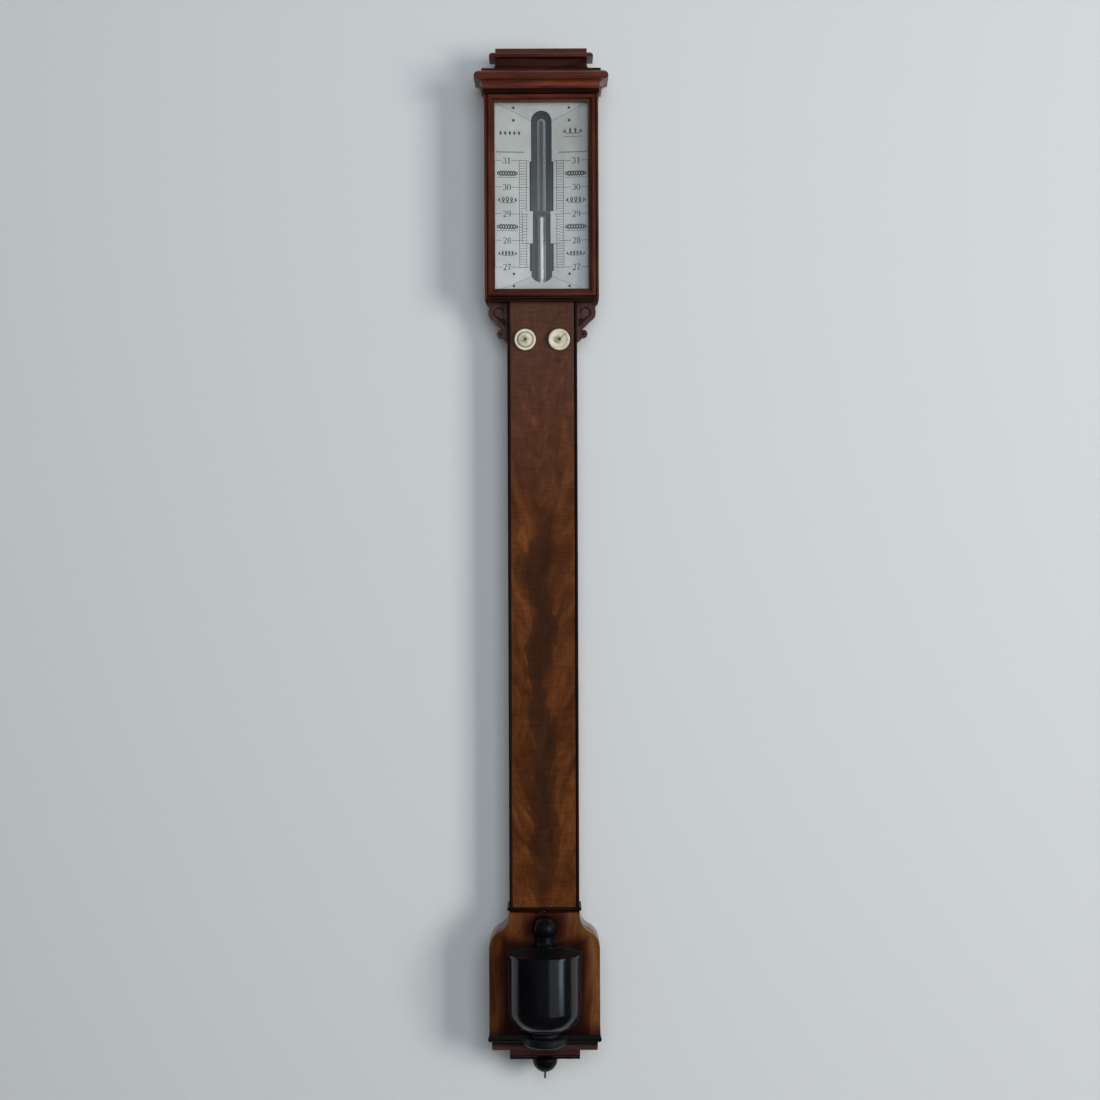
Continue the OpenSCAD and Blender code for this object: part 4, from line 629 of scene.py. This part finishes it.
# a piece turned on the tube's axis: a profile of radius and height, from the axis out and back to it, carried round
# a full circle; pleats swell the radius by a cosine of the angle
def turned(name, profile, pleats, material):
    radius, height = profile.T
    turn = np.linspace(0, 2 * math.pi, pleats["steps"], endpoint=False)
    swell = pleats["swell"] * (1 + np.cos(pleats["count"] * turn)) / 2
    reach = radius[1:-1, None] + swell * (radius[1:-1, None] > pleats["beyond"])
    rings = np.stack([reach * np.cos(turn), cistern["depth"] + reach * np.sin(turn),
                      np.repeat(height[1:-1, None], len(turn), 1)], -1)
    poles = [[0, cistern["depth"], height[0]], [0, cistern["depth"], height[-1]]]
    points = np.concatenate([rings.reshape(-1, 3), poles])
    step = np.arange(len(turn))
    after = (step + 1) % len(turn)
    base = len(turn) * np.arange(len(radius) - 3)[:, None]
    quads = np.stack([base + step, base + after, base + len(turn) + after, base + len(turn) + step], -1)
    low, high, last = len(points) - 2, len(points) - 1, len(turn) * (len(radius) - 3)
    caps = np.concatenate([np.stack([np.full_like(step, low), after, step], -1),
                           np.stack([last + step, last + after, np.full_like(step, high)], -1)])
    piece = meshPiece(name, points, quads.reshape(-1, 4).tolist() + caps.tolist(), material, "case")
    piece.data.polygons.foreach_set("use_smooth", np.ones(len(piece.data.polygons), bool))
    return piece


# the rounded corner of the bag, a quarter circle, at some depth inside its skin
def bagCorner(inset):
    bend = cistern["corner"] - inset
    quarter = np.linspace(0, math.pi / 2, cistern["steps"])
    return np.stack([cistern["bag"] - cistern["corner"] + bend * np.sin(quarter),
                     bagBox[0].z + cistern["corner"] - bend * np.cos(quarter)], -1)


bag = turned("bag_leather", np.concatenate([
    [[0, bagBox[0].z]], bagCorner(0),
    [[cistern["bag"], bagTop - cistern["skin"]], [brim, bagTop - cistern["skin"]], [brim, bagTop],
     [cistern["bag"] - cistern["skin"], bagTop]],
    bagCorner(cistern["skin"])[::-1], [[0, bagBox[0].z + cistern["skin"]]]]),
    {"steps": 128, "count": 16, "swell": 0.0002, "beyond": 0.0095}, materials["leather"])
pool = turned("cistern_pool", np.concatenate([
    [[0, poolBox[0].z]], bagCorner(inside),
    [[cistern["bag"] - inside, bagTop], [poolReach, bagTop], [poolReach, poolTop], [cistern["tube"], poolTop],
     [cistern["tube"], poolTop - cistern["dip"]], [0, poolTop - cistern["dip"]]]]),
    {"steps": 96, "count": 0, "swell": 0.0, "beyond": 1.0}, materials["mercury"])
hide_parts("leather_bag")
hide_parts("cistern_mercury")
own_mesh(bag)
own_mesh(pool)
print("cistern bag and mercury made")

# how near two corners of a node lie to count as one place
near = 1e-5
hollow = {"reach": 0.0050, "rise": 0.0042, "steps": 9}


# a small hollow at the foot of the cornice neck: a quarter hollow carried round its three free sides, mitred at the
# corners
def corniceHollow():
    neck = cornersOf("cornice_neck")
    upright = neck[neck[:, 2] > neck[:, 2].max() - near]
    low, high = upright.min(0), upright.max(0)
    shelf = neck[np.abs(neck[:, 0]) > high[0] + 0.001, 2].max()
    quarter = np.linspace(0, math.pi / 2, hollow["steps"])
    away = np.concatenate([[0.0], hollow["reach"] * (1 - np.sin(quarter))])
    up = np.concatenate([[0.0], hollow["rise"] * (1 - np.cos(quarter))])
    across = np.stack([low[0] - away, low[0] - away, high[0] + away, high[0] + away], -1)
    back = np.full_like(away, high[1])
    depth = np.stack([back, low[1] - away, low[1] - away, back], -1)
    grid = np.stack([across, depth, np.repeat(shelf + up[:, None], 4, 1)], -1)
    ring, stop = np.meshgrid(np.arange(len(away)), np.arange(3), indexing="ij")
    here, after = 4 * ring + stop, 4 * ((ring + 1) % len(away)) + stop
    quads = np.stack([here, here + 1, after + 1, after], -1).reshape(-1, 4)
    ends = [4 * np.arange(len(away)), 4 * np.arange(len(away))[::-1] + 3]
    faces = quads.tolist() + [end.tolist() for end in ends]
    # the hollow takes the darker copy of the mahogany, painted shade
    return meshPiece("cornice_hollow", grid, faces, materials["mahoganyDark"], "case")


corniceHollow()
print("cornice hollow made")


# a sloping front, measured on a right-hand piece: its depth rises evenly from the slot to the outer edge
def frontOf(name, fromX):
    points = cornersOf(name)
    points = points[points[:, 0] > fromX - near]
    inner, outer = points[:, 0].min(), points[:, 0].max()
    innerY = points[points[:, 0] < inner + near, 1].min()
    outerY = points[points[:, 0] > outer - near, 1].min()
    return {"inner": inner, "outer": outer, "depth": innerY, "slope": (outerY - innerY) / (outer - inner)}


plateFront = frontOf("scale_plate_right", 0.0)
wingFront = frontOf("vernier_right", 0.0084)


# flat strokes laid on a sloping front, a hair above it
def laidOn(front, flat):
    depth = front["depth"] + (np.abs(flat[:, 0]) - front["inner"]) * front["slope"] - scale["lift"]
    return np.stack([flat[:, 0], depth, flat[:, 1]], -1)


# an engraved stroke: a ribbon along a line, as wide as said at each point, half to either side of it, facing the front
def ribbon(line, widths):
    line = np.asarray(line, float)
    widths = np.broadcast_to(np.asarray(widths, float), len(line))
    along = np.gradient(line, axis=0)
    along /= np.linalg.norm(along, axis=1, keepdims=True) + 1e-12
    across = np.stack([-along[:, 1], along[:, 0]], -1) * widths[:, None] / 2
    count = np.arange(len(line) - 1)
    faces = np.stack([2 * count + 1, 2 * count + 3, 2 * count + 2, 2 * count], -1)
    return np.stack([line + across, line - across], 1).reshape(-1, 2), faces


def gathered(ribbons):
    points, faces, start = [], [], 0
    for flat, quads in ribbons:
        points.append(flat)
        faces.append(quads + start)
        start += len(flat)
    return np.concatenate(points), np.concatenate(faces)


def rule(x0, z0, x1, z1, width):
    return ribbon([(x0, z0), (x1, z1)], width)


def arc(cx, cz, rx, rz, start, end, thick, thin, count=28):
    turn = np.radians(np.linspace(start, end, count))
    line = np.stack([cx + rx * np.cos(turn), cz + rz * np.sin(turn)], -1)
    return ribbon(line, thin + (thick - thin) * np.abs(np.cos(turn)) ** 1.5)


# engraved numerals: round strokes swell at the sides and thin at top and bottom, in a box 0.6 wide and 1 high
numerals = {
    "0": [arc(0.3, 0.5, 0.24, 0.46, 0, 360, 0.17, 0.05, 48)],
    "1": [rule(0.32, 0.03, 0.32, 0.97, 0.17), rule(0.14, 0.03, 0.50, 0.03, 0.06), rule(0.31, 0.95, 0.15, 0.82, 0.07)],
    "2": [arc(0.3, 0.7, 0.22, 0.26, 165, -40, 0.15, 0.06),
          ribbon([(0.475, 0.53), (0.3, 0.28), (0.08, 0.07)], [0.14, 0.09, 0.06]), rule(0.06, 0.07, 0.55, 0.07, 0.15)],
    "3": [arc(0.27, 0.75, 0.2, 0.21, 160, -80, 0.15, 0.06), arc(0.27, 0.28, 0.24, 0.26, 80, -160, 0.17, 0.06)],
    "7": [rule(0.06, 0.93, 0.55, 0.93, 0.14), ribbon([(0.53, 0.9), (0.34, 0.5), (0.24, 0.03)], [0.07, 0.11, 0.17])],
    "8": [arc(0.3, 0.74, 0.18, 0.22, 0, 360, 0.13, 0.06, 40), arc(0.3, 0.27, 0.23, 0.25, 0, 360, 0.15, 0.06, 40)],
    "9": [arc(0.3, 0.68, 0.22, 0.28, 0, 360, 0.15, 0.06, 40), arc(0.21, 0.6, 0.31, 0.56, 12, -75, 0.15, 0.06)],
}
numeralBox = {"wide": 0.6, "apart": 0.68}


def numeral(text, cx, cz, high):
    made = []
    start = cx - high * (numeralBox["apart"] * (len(text) - 1) + numeralBox["wide"]) / 2
    for place, figure in enumerate(text):
        corner = (start + place * numeralBox["apart"] * high, cz - high / 2)
        made += [(flat * high + corner, quads) for flat, quads in numerals[figure]]
    return made


# a flourish: a row of even loops, like a pen exercise, that swells in the middle of the row
def flourish(cx, cz, wide, high, loops, width):
    turn = np.linspace(-0.5 * math.pi, (2 * loops - 0.5) * math.pi, 18 * loops)
    run = (turn - turn[0]) / (turn[-1] - turn[0])
    swell = np.sin(np.pi * run) ** 0.5
    line = np.stack([cx + wide * (run - 0.5) + 0.3 * high * np.cos(turn) * swell,
                     cz + 0.5 * high * np.sin(turn) * swell], -1)
    return [ribbon(line, width * (0.5 + 0.8 * np.abs(np.cos(turn))))]


# a plait: two waves that cross each other, heavier where they lean
def plait(cx, cz, wide, high, turns, width):
    run = np.linspace(0, 1, 16 * turns + 1)
    wave = 0.5 * high * np.sin(2 * math.pi * turns * run) * np.minimum(1, 6 * np.minimum(run, 1 - run) + 0.25)
    swell = width * (0.55 + 0.75 * np.abs(np.cos(2 * math.pi * turns * run)))
    return [ribbon(np.stack([cx + wide * (run - 0.5), cz + way * wave], -1), swell) for way in (-1, 1)]


def lozenges(cx, cz, wide, high, count):
    made, half = [], 0.36 * wide / count
    for place in np.linspace(cx - wide / 2, cx + wide / 2, count):
        flat = np.array([(place - half, cz), (place, cz - high / 2), (place + half, cz), (place, cz + high / 2)])
        made.append((flat, np.array([[0, 1, 2, 3]])))
    return made


# places across the plates are measured from the middle of the register
scale = {"inch": 0.0254, "ladder": (0.0143, 0.0211), "border": 0.0445, "hair": 0.00042, "figures": 0.0060,
         "figuresAt": 0.0330, "inchLines": [(0.0118, 0.0285), (0.0378, 0.0445)], "lift": 0.00004, "inset": 0.0002}
# between the inches: kind, place on the scale, lift, width, height, number of turns, stroke
ornaments = [(plait, 30.5, 0.0004, 0.0195, 0.0046, 4, 0.0010), (plait, 28.5, 0.0004, 0.0200, 0.0046, 4, 0.0010),
             (flourish, 29.5, 0.0005, 0.0190, 0.0062, 5, 0.0008), (flourish, 27.5, 0.0005, 0.0185, 0.0046, 6, 0.0008)]
ornament = {"at": 0.0325, "below": 0.0034, "underlines": {30.5: 0.0098, 28.5: 0.0100}}
# above the ladder: a row of dots, and a larger ornament in the open field
field = {"at": 0.0300, "dots": (0.0080, 0.0250, 0.0021, 13), "lozenges": (0.0262, 0.0175, 0.0046, 5),
         "flourish": (0.0280, 0.0195, 0.0056, 4, 0.0008), "line": (0.0215, 0.0385), "lineUp": 0.0228}
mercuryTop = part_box("mercury_column")[1].z
plateRight = cornersOf("scale_plate_right")
plateOut = plateRight[plateRight[:, 0] > plateFront["outer"] - near, 2]
plateIn = plateRight[plateRight[:, 0] < plateFront["inner"] + near, 2]


def mark(value):
    return mercuryTop + (value - 29) * scale["inch"]


# the engraved register of one side: ladder of tenths, inch lines with their figures, ornaments between them
def register(side):
    hair, inset = scale["hair"], scale["inset"]
    level = lambda first, last, z, width: rule(side * first, z, side * last, z, width)
    made = [rule(side * edge, mark(27), side * edge, mark(31), hair) for edge in (*scale["ladder"], scale["border"])]
    for tenth in range(41):
        made.append(level(*scale["ladder"], mark(27 + tenth / 10), hair * (1.2 if tenth % 5 == 0 else 0.85)))
    for value in range(27, 32):
        made += [level(*ends, mark(value), hair) for ends in scale["inchLines"]]
        made += numeral(str(value), side * scale["figuresAt"], mark(value), scale["figures"])
    for kind, value, lift, *rest in ornaments:
        made += kind(side * ornament["at"], mark(value) + lift, *rest)
    for value, half in ornament["underlines"].items():
        made.append(level(ornament["at"] - half, ornament["at"] + half, mark(value) - ornament["below"], hair))
    up, *rest = field["dots"]
    made += lozenges(side * field["at"], mark(31) + up, *rest)
    if side < 0:
        up, *rest = field["lozenges"]
        made += lozenges(side * field["at"], mark(31) + up, *rest)
    else:
        up, *rest = field["flourish"]
        made += flourish(side * field["at"], mark(31) + up, *rest)
        made.append(level(*field["line"], mark(31) + field["lineUp"], hair))
    # joints of the plates, mitred from the slot's corners to the outer corners
    for high, low, step in ((plateOut.max(), plateIn.max(), -inset), (plateOut.min(), plateIn.min(), inset)):
        made.append(rule(side * (plateFront["inner"] + inset), low + step,
                         side * (plateFront["outer"] - inset), high + step, hair * 0.6))
    return made


# a vernier's own ladder: ten parts over eleven tenths, read at its outer edge
vernier = {"line": 0.0142, "long": 0.0124, "hair": 0.0004, "upright": 0.0003, "inset": 0.0003}


def vernierMarks(side):
    outer = wingFront["outer"] - vernier["inset"]
    made = [rule(side * vernier["line"], mark(29), side * vernier["line"], mark(27.9), vernier["upright"])]
    for part in range(11):
        z = mark(29 - 0.11 * part) - (vernier["inset"] if part == 0 else 0.0)
        start = vernier["long"] if part % 5 == 0 else vernier["line"]
        made.append(rule(side * start, z, side * outer, z, vernier["hair"]))
    return made


for side, word in ((-1, "left"), (1, "right")):
    for name, front, strokes, body in (("engraving_", plateFront, register(side), "case"),
                                       ("vernier_marks_", wingFront, vernierMarks(side), word + "_vernier")):
        flat, quads = gathered(strokes)
        meshPiece(name + word, laidOn(front, flat), quads, materials["ink"], body)


# driver slots: a thin dark strip across each screw's head, square to the screw's own long axis; the strip is painted
# shade in place of a cut slot
driver = {"width": 0.00045, "long": 0.86, "apart": 0.003, "first": 0.5, "turn": 2.3}


def driverSlots(name):
    points, screws = cornersOf(name), []
    for half in (points[points[:, 0] < 0], points[points[:, 0] >= 0]):
        half = half[np.argsort(half[:, 2])]
        screws += np.split(half, np.flatnonzero(np.diff(half[:, 2]) > driver["apart"]) + 1)
    corners = []
    for number, screw in enumerate(screws):
        axis = np.linalg.svd(screw - screw.mean(0), full_matrices=False)[2][0]
        axis *= -np.sign(axis[1])
        reach = screw @ axis
        head = screw[reach > reach.max() - 2 * near]
        middle = (head.min(0) + head.max(0)) / 2 + axis * scale["lift"]
        turn = driver["first"] + driver["turn"] * number
        along = np.cross(axis, (math.cos(turn), 0.0, math.sin(turn)))
        along /= np.linalg.norm(along)
        across = np.cross(axis, along) * driver["width"] / 2
        along *= np.linalg.norm(head - middle, axis=1).max() * driver["long"]
        corners.append([middle - along - across, middle + along - across,
                        middle + along + across, middle - along + across])
    quads = np.arange(4 * len(corners)).reshape(-1, 4)
    return meshPiece(name + "_slots", corners, quads, materials["ink"], "case")


driverSlots("plate_screws")
print("register engraved")


# stage: a pale wall behind the object and a pale floor below the frame, both seen through from their backs
def stagePlane(name, look):
    mesh = bpy.data.meshes.new(name)
    mesh.from_pydata(look["corners"], [], [(0, 1, 2, 3)])
    mat, tree, shader = freshMaterial(name)
    setSockets(tree, shader, {"Base Color": look["colour"], "Roughness": 0.9, "Specular IOR Level": 0.1})
    if "glow" in look:
        # pale to the camera and dim in reflections, so that polished fronts keep their depth
        ray = tree.nodes.new("ShaderNodeLightPath")
        seen = mixed(tree, ray.outputs["Is Glossy Ray"], look["colour"], look["reflected"])
        setSockets(tree, shader, {"Base Color": seen, "Emission Color": look["glow"],
                                  "Emission Strength": ray.outputs["Is Camera Ray"]})
    clear = tree.nodes.new("ShaderNodeBsdfTransparent")
    choose = tree.nodes.new("ShaderNodeMixShader")
    side = tree.nodes.new("ShaderNodeNewGeometry")
    tree.links.new(side.outputs["Backfacing"], choose.inputs[0])
    tree.links.new(shader.outputs[0], choose.inputs[1])
    tree.links.new(clear.outputs[0], choose.inputs[2])
    tree.links.new(choose.outputs[0], tree.nodes["Material Output"].inputs["Surface"])
    mesh.materials.append(mat)
    plane = bpy.data.objects.new(name, mesh)
    stage.collection.objects.link(plane)
    return plane


wall = stagePlane("wall", {
    "corners": [(-3, 0.0008, -1.3), (3, 0.0008, -1.3), (3, 0.0008, 2), (-3, 0.0008, 2)],
    "colour": (0.585, 0.600, 0.610)})
# lets the rear light reach the back of the object
wall.visible_shadow = False
stagePlane("floor", {
    "corners": [(-3, -2, -1.3), (2.2, -2, -1.3), (2.2, 3, -1.3), (-3, 3, -1.3)],
    "colour": (0.20, 0.203, 0.206), "reflected": (0.04, 0.04, 0.045), "glow": (0.34, 0.35, 0.36)})


def areaLight(name, look):
    data = bpy.data.lights.new(name, "AREA")
    data.shape = "RECTANGLE"
    data.size, data.size_y = look["size"]
    data.energy = look["power"]
    data.color = look["colour"]
    data.spread = math.radians(look.get("spread", 180))
    lamp = bpy.data.objects.new(name, data)
    aim = np.array(look["target"]) - np.array(look["place"])
    flat = math.hypot(aim[0], aim[1])
    lamp.location = look["place"]
    lamp.rotation_euler = (math.atan2(flat, -aim[2]), 0, math.atan2(aim[1], aim[0]) - math.pi / 2)
    lamp.visible_glossy = look["mirrored"]
    lamp.visible_diffuse = not look["mirrored"]
    stage.collection.objects.link(lamp)


middle = (0, 0, -0.42)
lamps = {
    "key": {"place": (3.2, -2.5, -0.34), "target": middle, "size": (1.2, 2.0), "power": 116,
            "colour": (1.0, 0.975, 0.925), "mirrored": False},
    "fill": {"place": (0.25, -2.4, 0.25), "target": middle, "size": (1.8, 1.8), "power": 35,
             "colour": (0.87, 0.945, 1.0), "mirrored": False},
    # the window and its curtain as polished wood shows them: seen in reflections only
    "window": {"place": (0.86, -0.70, -0.775), "target": (0, -0.08, -0.775), "size": (0.29, 0.65), "power": 2.2,
               "colour": (0.66, 0.82, 1.0), "mirrored": True},
    "curtain": {"place": (0.53, -1.0, -0.80), "target": (0, -0.08, -0.80), "size": (0.58, 0.74), "power": 0.8,
                "colour": (0.80, 0.86, 1.0), "mirrored": True},
    # from behind the wall, for the back of the object
    "rear": {"place": (-0.5, 2.6, 0.1), "target": middle, "size": (1.6, 1.6), "power": 30,
             "colour": (1.0, 0.985, 0.96), "mirrored": False, "spread": 70},
}
for name, look in lamps.items():
    areaLight(name, look)

# the world is brighter to the camera than as a light
sky = {"colour": (0.90, 0.95, 1.0), "light": 0.14, "seen": 0.62}
world = bpy.data.worlds.new("world")
stage.world = world
world.use_nodes = True
tree = world.node_tree
ray = tree.nodes.new("ShaderNodeLightPath")
strength = ramp(tree, ray.outputs["Is Camera Ray"], [(0.0, sky["light"]), (1.0, sky["seen"])])
setSockets(tree, tree.nodes["Background"], {"Color": sky["colour"], "Strength": strength})
print("stage and lights ready")
